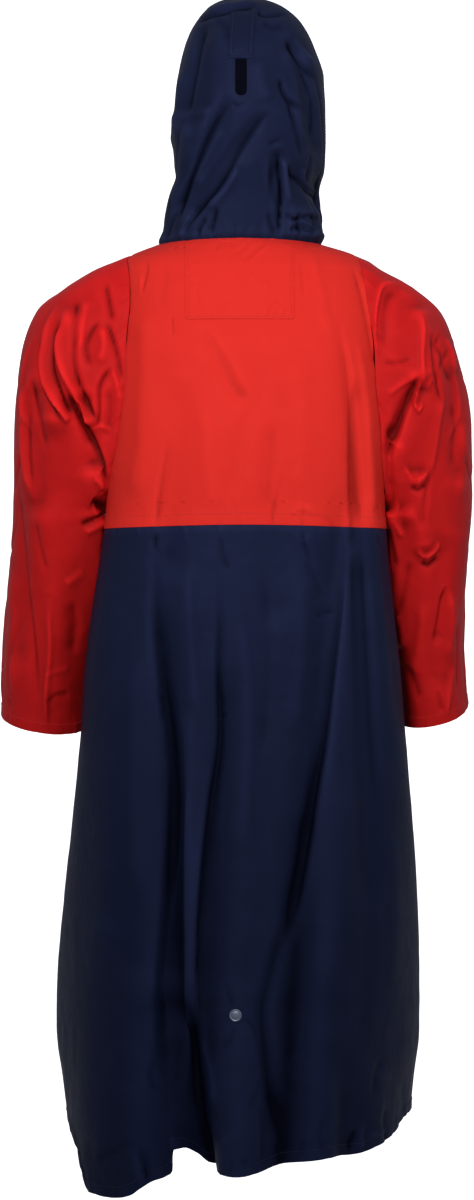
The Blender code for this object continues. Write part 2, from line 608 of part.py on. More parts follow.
# -------------------------------------------------------------------------------- pieces
def make_yoke(name, side, cells):
    angle, height = yoke_grid(side, cells)
    outer = body(angle, height)
    normal = body_normals(angle, height)
    offset = normal.copy()
    turn = np.linspace(-math.pi / 2, math.pi / 2, cells + 1)
    if side == "front":
        turn = math.pi - turn
    offset[0] = mitre(normal[0], hood_normals(turn, 0 * turn))
    arm = np.linspace(0.0, math.pi, ARMHOLE_CELLS + 1)
    if side == "front":
        arm = -arm
    rows = slice(1, ARMHOLE_CELLS + 2)
    for column, sign, shape in ((-1, 1.0, LEFT_SLEEVE), (0, -1.0, RIGHT_SLEEVE)):
        offset[rows, column] = mitre(normal[rows, column], sleeve_normals(shape, sign, arm, 0 * arm))
    inner = outer - WALL * offset
    for grid in (outer, inner):
        for axis, end in ((0, "first"), (0, "last"), (1, "first"), (1, "last")):
            pull_in(grid, axis, end, SEAM_GAP / 2)
    wall_object(name, outer, inner, RED)


def make_skirt(name, side, cells):
    angle, height = skirt_grid(side, cells)
    outer = body(angle, height)
    inner = outer - WALL * body_normals(angle, height)
    for grid in (outer, inner):
        for axis, end in ((0, "first"), (1, "first"), (1, "last")):
            pull_in(grid, axis, end, SEAM_GAP / 2)
    wall_object(name, outer, inner, NAVY)


def sleeve_normals(shape, sign, turn, along):
    return -sign * tube_normals(shape, turn, along)


def hood_normals(turn, along):
    return -tube_normals(hood, turn, along)


def make_sleeve(name, shape, sign):
    turns = np.linspace(0.0, 2 * math.pi, 2 * ARMHOLE_CELLS + 1)[:-1]
    turn, along = np.meshgrid(turns, np.linspace(0.0, 1.0, SLEEVE_ROWS + 1))
    outer = shape(turn, along)
    offset = sleeve_normals(shape, sign, turn, along)
    offset[0] = mitre(armhole(turns, sign)[1], offset[0])
    inner = outer - WALL * offset
    for grid in (outer, inner):
        pull_in(grid, 0, "first", SEAM_GAP / 2)
    wall_object(name, outer, inner, DARK_RED, closed_round=True)


def make_hood_piece(name, start, end, rows):
    back = np.linspace(-math.pi / 2, math.pi / 2, YOKE_BACK_CELLS + 1)
    front = np.linspace(math.pi / 2, 3 * math.pi / 2, YOKE_FRONT_CELLS + 1)
    turns = np.concatenate([back, front[1:-1]])
    turn, along = np.meshgrid(turns, np.linspace(start, end, rows + 1))
    outer = hood(turn, along)
    offset = hood_normals(turn, along)
    if start == 0.0:
        offset[0] = mitre(neck_loop(turns)[1], offset[0])
    inner = outer - WALL * offset
    for grid in (outer, inner):
        pull_in(grid, 0, "first", SEAM_GAP / 2)
        if end < 1.0:
            pull_in(grid, 0, "last", SEAM_GAP / 2)
    wall_object(name, outer, inner, NAVY, closed_round=True)


def on_surface(surface, x, z, across, along):
    """Finds where a surface passes through x, z, seen square on, from a first guess."""
    for _ in range(12):
        step = 1e-3
        here = surface(across, along)
        by_across = (surface(across + step, along) - here) / step
        by_along = (surface(across, along + step) - here) / step
        miss_x = x - here[..., 0]
        miss_z = z - here[..., 2]
        scale = by_across[..., 0] * by_along[..., 2] - by_along[..., 0] * by_across[..., 2]
        across = across + (miss_x * by_along[..., 2] - miss_z * by_along[..., 0]) / scale
        along = along + (miss_z * by_across[..., 0] - miss_x * by_across[..., 2]) / scale
    return across, along


def make_laid_on(name, surface, facing, place, thickness, finish, cells, guess, rounded=0.0):
    """A flat piece sewn on a panel: the panel's own points, moved out."""
    across, down = cells
    u, v = np.meshgrid(np.linspace(0.0, 1.0, across + 1), np.linspace(0.0, 1.0, down + 1))
    z = place["top"] + (place["bottom"] - place["top"]) * v
    half = (place["left"] - place["right"]) / 2
    from_end = np.clip((z - place["bottom"]) / half, 0.0, 1.0) if rounded else np.ones_like(z)
    narrow = np.sqrt(np.maximum(1 - (1 - from_end) ** 2, rounded**2)) if rounded else 1.0
    middle = (place["left"] + place["right"]) / 2 + place.get("slant", 0.0) * (0.5 - v) * -1
    x = middle + half * (1 - 2 * u) * narrow
    first, second = on_surface(surface, x, z, guess[0] + 0 * x, guess[1] + 0 * x)
    base = surface(first, second)
    out = facing(first, second)
    outer = base + out * (LAID_ON + thickness)
    inner = base + out * LAID_ON
    wall_object(name, outer, inner, finish)


def make_button():
    """Domed cap of the press stud, turned round its own axis and set square on the cloth."""
    x, z = BUTTON_PLACE
    place = (np.array([x]), np.array([z]))
    angle, height = on_surface(body, place[0], place[1], np.array([0.0]), np.array([z]))
    centre = body(angle, height)[0]
    out = body_normals(angle, height)[0]
    side = unit(np.cross(out, np.array([0.0, 0.0, 1.0])))
    up = np.cross(side, out)
    profile = table(
        "radius rise",
        (0.0, 0.0040), (0.0030, 0.0039), (0.0052, 0.0034),
        (0.0066, 0.0026), (0.0075, 0.0016), (0.0075, 0.0008), (0.0069, 0.0004), (0.0, 0.0004),
    )
    turns = np.linspace(0.0, 2 * math.pi, 25)[:-1]
    points = []
    for radius, rise in zip(profile["radius"], profile["rise"]):
        if radius == 0.0:
            points.append(centre + out * rise)
            continue
        for turn in turns:
            spoke = side * math.cos(turn) - up * math.sin(turn)
            points.append(centre + out * rise + spoke * radius)
    count = len(turns)
    rings = len(profile["radius"]) - 2
    last = len(points) - 1
    faces = []
    for c in range(count):
        after = (c + 1) % count
        faces.append((0, 1 + c, 1 + after))
        faces.append((last, last - count + after, last - count + c))
        for r in range(rings - 1):
            start = 1 + r * count
            faces.append((start + c, start + count + c, start + count + after, start + after))
    mesh = bpy.data.meshes.new("snap_button")
    mesh.from_pydata([tuple(p) for p in points], [], faces)
    mesh.shade_smooth()
    mesh.set_sharp_from_angle(angle=math.radians(50.0))
    mesh.materials.append(material("snap_button", STEEL))
    bpy.context.scene.collection.objects.link(bpy.data.objects.new("snap_button", mesh))


for old in list(bpy.data.objects):
    bpy.data.objects.remove(old)

LEFT_SLEEVE = sleeve(SLEEVE_LEFT, SLEEVE_LEFT_FOLDS, 1.0)
RIGHT_SLEEVE = sleeve(SLEEVE_RIGHT, SLEEVE_RIGHT_FOLDS, -1.0)

make_yoke("back_yoke", "back", YOKE_BACK_CELLS)
make_yoke("front_yoke", "front", YOKE_FRONT_CELLS)
make_skirt("back_skirt", "back", SKIRT_BACK_CELLS)
make_skirt("front_skirt", "front", SKIRT_FRONT_CELLS)
make_sleeve("sleeve_left", LEFT_SLEEVE, 1.0)
make_sleeve("sleeve_right", RIGHT_SLEEVE, -1.0)
make_hood_piece("hood", 0.0, CROWN_SEAM, HOOD_ROWS)
make_hood_piece("hood_brim", CROWN_SEAM, 1.0, BRIM_ROWS)
make_laid_on("neck_patch", body, body_normals, PATCH, 0.0010, RED, (10, 8), (0.0, 0.0))
make_laid_on("hood_strip", hood, hood_normals, STRIP, 0.0010, BLACK, (4, 10), (0.0, 0.38), 0.12)
make_laid_on("hood_tab", hood, hood_normals, TAB, 0.0014, NAVY, (6, 8), (0.0, 0.5))
make_button()
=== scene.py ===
"""Looks of the hooded rain poncho: fine cloth, seams, stitching, materials, light and camera.

Each piece of cloth is a thin closed shell on the form of its solid, with its creases placed
one by one. Creases that the picture shows are placed by where they are in it, 474 by 1200
pixels of about 1.14 mm on the garment; widths and depths are in millimetres.
"""

import math

import bmesh
import bpy
import numpy as np
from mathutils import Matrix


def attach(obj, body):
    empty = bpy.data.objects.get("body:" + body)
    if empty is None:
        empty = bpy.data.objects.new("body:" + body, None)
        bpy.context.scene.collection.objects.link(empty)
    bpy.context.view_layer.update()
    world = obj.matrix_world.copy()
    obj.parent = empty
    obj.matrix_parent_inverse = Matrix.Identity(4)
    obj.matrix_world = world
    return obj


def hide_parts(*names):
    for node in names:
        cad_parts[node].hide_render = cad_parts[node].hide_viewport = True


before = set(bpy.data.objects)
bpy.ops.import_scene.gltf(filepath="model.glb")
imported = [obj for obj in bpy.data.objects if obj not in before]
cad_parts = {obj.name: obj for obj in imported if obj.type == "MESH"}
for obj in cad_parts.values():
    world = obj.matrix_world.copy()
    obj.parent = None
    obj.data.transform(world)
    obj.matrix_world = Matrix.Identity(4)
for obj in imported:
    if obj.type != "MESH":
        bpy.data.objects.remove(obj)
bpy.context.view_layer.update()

# ---------------------------------------------------------------- sizes of the solids (metres)
SHEET = 0.0009              # thickness of the shown cloth
CLEARANCE = 0.002
NECK_SIDE = 0.034
NECK_BACK = 0.036
NECK_FRONT = -0.045
SHOULDER = 0.023
UNDERARM = -0.272
UNDERARM_TUCK = 0.016
TUCK_START = 0.03           # height in which they come in as far as that
WAIST_CENTRE = -0.295
WAIST_SIDE = -0.300
SIDE_SEAM_END = -1.03
SLEEVE_SQUARE = 2.2
CROWN_SEAM = 0.66
BUTTON_PLACE = (0.005, -0.846)
BUTTON_SIDES = 64
THREAD_SIDES = 5
HEM_STITCHES = 0.0125       # from hem, cuff or waist seam to its line of stitches
NECK_STITCHES = 0.0035
CROWN_STITCHES = 0.0032
BRIM_STITCHES = 0.0175
PATCH_STITCHES = 0.0030
TAB_STITCHES = 0.0034
ARMPIT = {"height": -0.282, "width": 0.010, "lift": 0.0062}  # fold of the sleeve against the body
HOLLOW_PASSES = 16          # softenings of the cloth that it is compared with
BODY_STRENGTH = 1.4         # by how much the creases below are deeper than their tables say
SLEEVE_STRENGTH = 1.7
HOOD_STRENGTH = 1.9
PATCH = {"left": 0.0627, "right": -0.0614, "top": 0.031, "bottom": -0.061}
TAB = {"left": 0.0119, "right": -0.0161, "top": 0.296, "bottom": 0.2375, "slant": 0.0033}
STRIP = {"left": 0.0055, "right": -0.0075, "top": 0.2365, "bottom": 0.195, "slant": 0.0}

# the camera, and how it maps the garment onto the picture
CAMERA = np.array([0.0035, 3.5, -0.308])
PIXEL = 0.00118             # metres of the plane y = 0 in one pixel of the picture
PICTURE = (474, 1200)
MIDDLE = (237, 536)         # picture place straight ahead of the level camera
CREASE_PIXEL = 0.00114      # the same at the garment's back, where the creases are
CREASE_PIXEL_MM = 1.14
SIDE_TOP = 265              # height z = 0 in the views from the side


def table(columns, *rows):
    names = columns.split()
    return {name: np.array([row[i] for row in rows], float) for i, name in enumerate(names)}


# one stitch, from end to end: height over the cloth and size, in thicknesses of the thread
THREAD = table(
    "at height size",
    (0.0, -1.0, 0.35),
    (0.18, 0.35, 0.9),
    (0.5, 0.75, 1.0),
    (0.82, 0.35, 0.9),
    (1.0, -1.0, 0.35),
)
BODY = table(
    "height shift centre half back front square taper seam",
    (0.040, 0.0000, -0.002, 0.0860, 0.070, 0.030, 2.0, 0.00, 90),
    (0.034, 0.0000, -0.002, 0.0973, 0.077, 0.037, 2.0, 0.00, 90),
    (0.023, -0.0035, -0.003, 0.1285, 0.087, 0.050, 2.1, 0.00, 90),
    (0.013, -0.0040, -0.003, 0.1465, 0.094, 0.062, 2.2, 0.00, 90),
    (0.000, -0.0060, -0.003, 0.1560, 0.101, 0.076, 2.3, 0.00, 90),
    (-0.045, -0.0100, -0.003, 0.1620, 0.116, 0.106, 2.5, 0.00, 90),
    (-0.100, -0.0120, 0.000, 0.1640, 0.126, 0.125, 2.6, 0.00, 90),
    (-0.170, -0.0125, 0.004, 0.1640, 0.129, 0.140, 2.6, 0.00, 90),
    (-0.235, -0.0090, 0.010, 0.1630, 0.126, 0.150, 2.5, 0.00, 92),
    (-0.272, -0.0065, 0.014, 0.1625, 0.122, 0.158, 2.4, -0.03, 97),
    (-0.300, -0.0060, 0.016, 0.1640, 0.121, 0.166, 2.4, -0.06, 99),
    (-0.370, -0.0040, 0.016, 0.1720, 0.125, 0.178, 2.4, -0.08, 101),
    (-0.443, -0.0030, 0.010, 0.1810, 0.136, 0.186, 2.4, -0.08, 102),
    (-0.549, -0.0036, -0.005, 0.1910, 0.160, 0.196, 2.3, -0.05, 103),
    (-0.643, -0.0030, -0.030, 0.2020, 0.193, 0.196, 2.2, 0.00, 104),
    (-0.738, -0.0013, -0.060, 0.2120, 0.230, 0.195, 2.1, 0.04, 106),
    (-0.848, 0.0017, -0.085, 0.2190, 0.262, 0.200, 2.0, 0.08, 109),
    (-0.902, 0.0020, -0.092, 0.2195, 0.273, 0.205, 2.0, 0.10, 111),
    (-0.960, 0.0015, -0.096, 0.2130, 0.282, 0.205, 2.0, 0.11, 113),
    (-1.030, -0.0020, -0.100, 0.2030, 0.290, 0.205, 2.0, 0.12, 114),
    (-1.100, -0.0050, -0.100, 0.1940, 0.290, 0.205, 2.0, 0.12, 114),
)
ARMHOLE = table(
    "turn back front",
    (0, 90.0, 90.0),
    (15, 77.5, 102.0),
    (30, 67.5, 111.0),
    (45, 63.0, 117.5),
    (60, 61.0, 121.0),
    (90, 61.0, 123.5),
    (120, 66.5, 118.5),
    (135, 71.5, 113.5),
    (150, 78.0, 108.5),
    (165, 87.0, 103.0),
    (180, 97.0, 97.0),
)
HEM = table(
    "angle height",
    (-180, -1.030),
    (-105, -1.010),
    (-75, -1.002),
    (-55, -1.012),
    (-46, -1.015),
    (-36, -1.019),
    (-24, -1.015),
    (-10, -1.020),
    (3, -1.026),
    (8, -1.026),
    (12, -1.029),
    (18, -1.028),
    (20, -1.014),
    (21.5, -1.007),
    (22.8, -1.008),
    (23.5, -1.035),
    (26, -1.043),
    (28, -1.052),
    (30, -1.060),
    (34, -1.066),
    (40, -1.069),
    (46, -1.069),
    (52, -1.044),
    (58, -1.025),
    (76, -1.010),
    (105, -1.014),
    (180, -1.030),
)
FOLD_COLUMNS = "x1 z1 x2 z2 bow width1 width2 depth1 depth2 lean"
BODY_BACK_FOLDS = table(
    FOLD_COLUMNS,
    (0.091, -0.340, 0.079, -0.980, 0.004, 0.014, 0.024, -0.004, -0.030, 0.0),
    (0.079, -0.800, 0.059, -1.140, 0.000, 0.040, 0.034, 0.000, -0.118, 0.0),
    (0.062, -0.480, 0.055, -0.930, 0.000, 0.014, 0.018, 0.004, 0.006, 0.0),
    (0.020, -0.430, 0.046, -0.930, 0.004, 0.016, 0.018, -0.005, -0.014, 0.2),
    (-0.122, -0.240, -0.074, -0.690, -0.006, 0.014, 0.020, -0.005, -0.013, -0.3),
    (-0.074, -0.610, -0.040, -1.200, 0.004, 0.020, 0.030, -0.013, -0.030, -0.2),
    (-0.136, -0.120, -0.134, -0.330, 0.000, 0.008, 0.010, -0.003, -0.008, 0.3),
    (-0.134, -0.300, -0.150, -0.740, 0.000, 0.010, 0.022, -0.008, -0.006, 0.3),
    (0.155, -0.700, 0.152, -1.160, 0.000, 0.040, 0.046, 0.000, 0.034, 0.0),
    (0.010, -0.700, 0.012, -1.160, 0.000, 0.030, 0.030, 0.000, 0.016, 0.0),
    (0.116, -0.760, 0.098, -1.160, 0.000, 0.016, 0.021, 0.000, 0.028, 0.0),
    (-0.118, -0.860, -0.128, -1.180, 0.000, 0.014, 0.016, 0.000, -0.016, 0.2),
    (-0.160, -0.900, -0.168, -1.180, 0.000, 0.016, 0.018, 0.000, 0.012, 0.0),
    (0.110, -0.040, 0.118, -0.270, 0.000, 0.014, 0.014, 0.003, 0.004, 0.0),
    (0.070, -0.120, 0.085, -0.360, 0.000, 0.020, 0.020, -0.003, -0.004, 0.0),
    (-0.045, -0.120, -0.040, -0.420, 0.000, 0.022, 0.022, -0.003, -0.004, 0.0),
)
BODY_FRONT_FOLDS = table(
    FOLD_COLUMNS,
    (0.100, -0.300, 0.125, -1.200, 0.006, 0.016, 0.030, -0.006, -0.046, 0.1),
    (0.035, -0.360, 0.048, -1.200, -0.004, 0.016, 0.026, -0.004, -0.036, -0.1),
    (-0.030, -0.330, -0.036, -1.200, 0.003, 0.016, 0.028, -0.005, -0.030, 0.2),
    (-0.100, -0.300, -0.128, -1.200, -0.005, 0.016, 0.028, -0.006, -0.044, 0.0),
    (0.000, -0.120, 0.004, -0.420, 0.000, 0.026, 0.024, -0.004, -0.006, 0.0),
    (0.085, -0.110, 0.075, -0.330, 0.000, 0.016, 0.018, -0.003, -0.006, 0.0),
    (-0.080, -0.110, -0.072, -0.330, 0.000, 0.016, 0.018, -0.003, -0.006, 0.0),
)
SLEEVE_COLUMNS = "along outer_x outer_y outer_z inner_x inner_y inner_z back front lean"
SLEEVE_LEFT = table(
    SLEEVE_COLUMNS,
    (0.00, 0.1250, -0.003, 0.0230, 0.1555, -0.004, -0.272, 0.084, 0.088, 0),
    (0.08, 0.1656, -0.006, 0.0068, 0.1660, -0.012, -0.281, 0.088, 0.090, 0),
    (0.16, 0.2063, -0.012, -0.0163, 0.1680, -0.027, -0.297, 0.092, 0.092, 1),
    (0.25, 0.2402, -0.022, -0.0428, 0.1670, -0.046, -0.320, 0.095, 0.093, 2),
    (0.36, 0.2585, -0.033, -0.0887, 0.1670, -0.065, -0.353, 0.096, 0.094, 4),
    (0.50, 0.2679, -0.048, -0.1692, 0.1700, -0.081, -0.397, 0.095, 0.094, 6),
    (0.64, 0.2714, -0.065, -0.2648, 0.1730, -0.094, -0.441, 0.093, 0.092, 8),
    (0.78, 0.2785, -0.080, -0.3611, 0.1770, -0.099, -0.480, 0.090, 0.090, 9),
    (0.90, 0.2856, -0.093, -0.4460, 0.1800, -0.103, -0.511, 0.087, 0.087, 10),
    (1.00, 0.2888, -0.102, -0.5205, 0.1830, -0.106, -0.535, 0.084, 0.084, 10),
)
SLEEVE_RIGHT = table(
    SLEEVE_COLUMNS,
    (0.00, 0.1320, -0.003, 0.0230, 0.1685, -0.004, -0.272, 0.084, 0.088, 0),
    (0.08, 0.1634, -0.006, 0.0050, 0.1790, -0.012, -0.281, 0.088, 0.090, 0),
    (0.16, 0.2052, -0.012, -0.0163, 0.1805, -0.027, -0.297, 0.092, 0.092, 1),
    (0.25, 0.2380, -0.022, -0.0451, 0.1790, -0.046, -0.320, 0.095, 0.093, 2),
    (0.36, 0.2575, -0.033, -0.0935, 0.1785, -0.065, -0.353, 0.096, 0.094, 4),
    (0.50, 0.2753, -0.048, -0.1692, 0.1800, -0.081, -0.397, 0.095, 0.094, 6),
    (0.64, 0.2776, -0.065, -0.2648, 0.1820, -0.094, -0.441, 0.093, 0.092, 8),
    (0.78, 0.2715, -0.080, -0.3611, 0.1850, -0.099, -0.478, 0.090, 0.090, 9),
    (0.90, 0.2689, -0.093, -0.4340, 0.1870, -0.103, -0.506, 0.087, 0.087, 10),
    (1.00, 0.2758, -0.102, -0.5095, 0.1890, -0.106, -0.528, 0.084, 0.084, 10),
)
SLEEVE_LEFT_FOLDS = table(
    FOLD_COLUMNS,
    (0.195, -0.040, 0.225, -0.190, 0.010, 0.016, 0.016, 0.007, 0.006, 0.0),
    (0.187, -0.140, 0.168, -0.238, 0.000, 0.014, 0.014, -0.008, -0.010, 0.0),
    (0.242, -0.120, 0.236, -0.290, 0.000, 0.014, 0.014, -0.005, -0.005, 0.0),
    (0.225, -0.250, 0.222, -0.520, 0.004, 0.018, 0.014, 0.005, 0.007, 0.2),
    (0.258, -0.240, 0.262, -0.470, 0.000, 0.012, 0.014, -0.004, -0.005, 0.0),
)
SLEEVE_RIGHT_FOLDS = table(
    FOLD_COLUMNS,
    (-0.205, -0.040, -0.216, -0.130, 0.004, 0.012, 0.012, 0.006, 0.006, 0.0),
    (-0.212, -0.125, -0.172, -0.200, 0.000, 0.014, 0.014, -0.008, -0.008, 0.0),
    (-0.200, -0.230, -0.215, -0.330, 0.004, 0.014, 0.014, 0.006, 0.006, 0.0),
    (-0.240, -0.300, -0.232, -0.500, 0.000, 0.016, 0.016, -0.006, -0.006, 0.2),
    (-0.250, -0.100, -0.256, -0.250, 0.000, 0.012, 0.014, -0.004, -0.004, 0.0),
)
HOOD = table(
    "along outer_y outer_z inner_y inner_z left right shift square",
    (0.00, 0.073, 0.036, -0.109, -0.045, 0.0960, 0.0965, 0.000, 2.0),
    (0.09, 0.080, 0.082, -0.112, -0.036, 0.0900, 0.0890, -0.001, 2.1),
    (0.20, 0.093, 0.132, -0.115, -0.026, 0.0850, 0.0845, -0.001, 2.2),
    (0.32, 0.103, 0.190, -0.118, -0.016, 0.0790, 0.0880, -0.001, 2.4),
    (0.45, 0.098, 0.248, -0.120, -0.007, 0.0800, 0.0960, -0.002, 2.5),
    (0.56, 0.073, 0.291, -0.121, 0.001, 0.0810, 0.0980, -0.003, 2.6),
    (0.66, 0.034, 0.316, -0.121, 0.008, 0.0810, 0.0980, -0.004, 2.6),
    (0.76, -0.010, 0.3245, -0.120, 0.015, 0.0800, 0.0960, -0.004, 2.5),
    (0.88, -0.060, 0.316, -0.119, 0.021, 0.0770, 0.0900, -0.004, 2.4),
    (1.00, -0.104, 0.294, -0.118, 0.026, 0.0740, 0.0830, -0.003, 2.2),
)
HOOD_FOLDS = table(
    FOLD_COLUMNS,
    (0.040, 0.300, 0.056, 0.150, 0.004, 0.010, 0.012, -0.005, -0.005, 0.0),
    (0.012, 0.200, 0.078, 0.060, 0.006, 0.010, 0.012, -0.003, -0.006, 0.3),
    (-0.034, 0.180, 0.062, 0.050, -0.006, 0.010, 0.012, -0.003, -0.006, 0.3),
    (-0.044, 0.140, -0.044, 0.050, 0.000, 0.008, 0.010, -0.004, -0.003, 0.0),
    (-0.055, 0.270, -0.086, 0.130, 0.006, 0.010, 0.010, -0.005, -0.004, 0.0),
)

# ------------------------------------------------------------------- creases, one by one
# Each row: width at the two ends of the crease in mm, depth at the two ends in mm, below 0
# for a trough; lean from -1 to 1 makes one flank steep; crisp from 0, soft, to 1, sharp; the
# path, places along the crease in picture pixels; and, where it isn't (0.22, 0.22), the part
# of its length over which it fades in and out.
YOKE_CREASES = (
    # long fold by the right armhole
    (5, 7, -1.5, -6.0, 0.5, 0.4, "338,322 350,388 355,450 361,529"),
    (5, 6, 1.0, 3.0, -0.3, 0.2, "356,330 366,400 369,450 373,529"),
    (2.5, 3, -1.6, -1.2, 0.4, 0.6, "352,266 361,292 371,342 377,372"),
    (3, 3, 1.4, 1.0, 0, 0.4, "362,275 372,330"),
    # slanting trough over the middle
    (9, 8, -1.2, -2.6, 0.4, 0.1, "200,328 222,362 236,388 252,402"),
    (10, 12, -1.0, -2.0, 0, 0, "262,360 258,400 240,440 232,500"),
    (12, 12, 1.6, 1.6, 0, 0, "205,400 208,450 214,515"),
    (14, 14, 1.6, 1.2, 0, 0, "295,350 300,420 296,500"),
    (9, 9, -1.4, -2.0, 0.3, 0, "272,420 270,470 268,515"),
    # creases that start at the waist seam
    (2.2, 5, -2.4, -0.8, 0.5, 0.6, "156,529 158,505 163,470 168,440"),
    (1.8, 4, -1.8, -0.5, 0.5, 0.7, "271,528 274,508 279,486 283,470"),
    (1.8, 2, -1.0, -0.3, 0, 0.5, "221,528 219,510"),
    (1.6, 1.6, -1.8, -0.8, 0, 0.8, "303,529 303,508"),
    (1.8, 1.8, 1.2, 1.2, 0.2, 0.6, "289,514 303,507 318,513"),
    (1.4, 1.6, -0.9, -0.9, 0, 0.6, "286,519 300,513 321,517 334,521"),
    (1.6, 1.6, -1.0, -0.8, 0, 0.6, "326,520 338,524 346,518"),
    (1.6, 1.6, -1.0, -0.8, 0, 0.6, "372,512 378,506"),
    # short creases near the left armhole and shoulder
    (3, 2, -1.0, -1.8, 0.5, 0.7, "148,262 145,280 141,295"),
    (1.8, 1.8, 0.9, 0.9, 0, 0.5, "141,276 141,296"),
    (1.8, 1.8, -0.9, -0.9, 0.5, 0.7, "172,316 173,336"),
    (10, 12, 1.6, 2.0, 0, 0, "120,330 118,420 112,500"),
    (8, 9, -0.8, -1.2, 0, 0, "137,300 134,380 130,470"),
    # faint ones under the neck
    (2.5, 2.5, -0.7, -0.7, 0.3, 0.4, "302,262 304,296"),
    (6, 8, 0.9, 1.2, 0, 0, "310,250 322,300 330,340"),
    (6, 6, -0.8, -0.6, 0, 0.1, "166,262 160,310"),
)
PATCH_CREASES = (
    (2.0, 2.2, -1.2, -1.2, 0.4, 0.7, "243,262 252,253 265,243"),
    (2.0, 2.0, 1.0, 1.0, 0.2, 0.5, "249,264 259,255 270,246"),
    (1.8, 2.0, -1.0, -1.0, 0.4, 0.6, "233,256 243,250 250,241"),
    (1.8, 1.8, -0.9, -0.9, 0.4, 0.6, "214,251 222,244 240,246"),
    (1.8, 2.4, -1.2, -0.8, 0.4, 0.6, "267,318 272,306 281,297"),
    (1.6, 2.2, -1.2, -0.8, 0.4, 0.6, "273,318 279,308 292,297"),
    (1.6, 1.8, -1.0, -0.8, 0.4, 0.6, "281,318 286,311 293,305"),
    (1.4, 1.8, 0.8, 0.6, 0, 0.4, "276,318 283,306"),
    (2.0, 3.0, -0.9, -0.5, 0.3, 0.4, "219,318 223,306 226,296"),
    (2.4, 2.4, -0.6, -0.7, 0.3, 0.4, "199,284 197,296 203,316"),
    (2.0, 2.4, -0.6, -0.4, 0.3, 0.4, "186,284 196,282 204,276"),
    (5, 5, 0.8, 0.8, 0, 0.1, "250,276 262,286 270,284"),
)
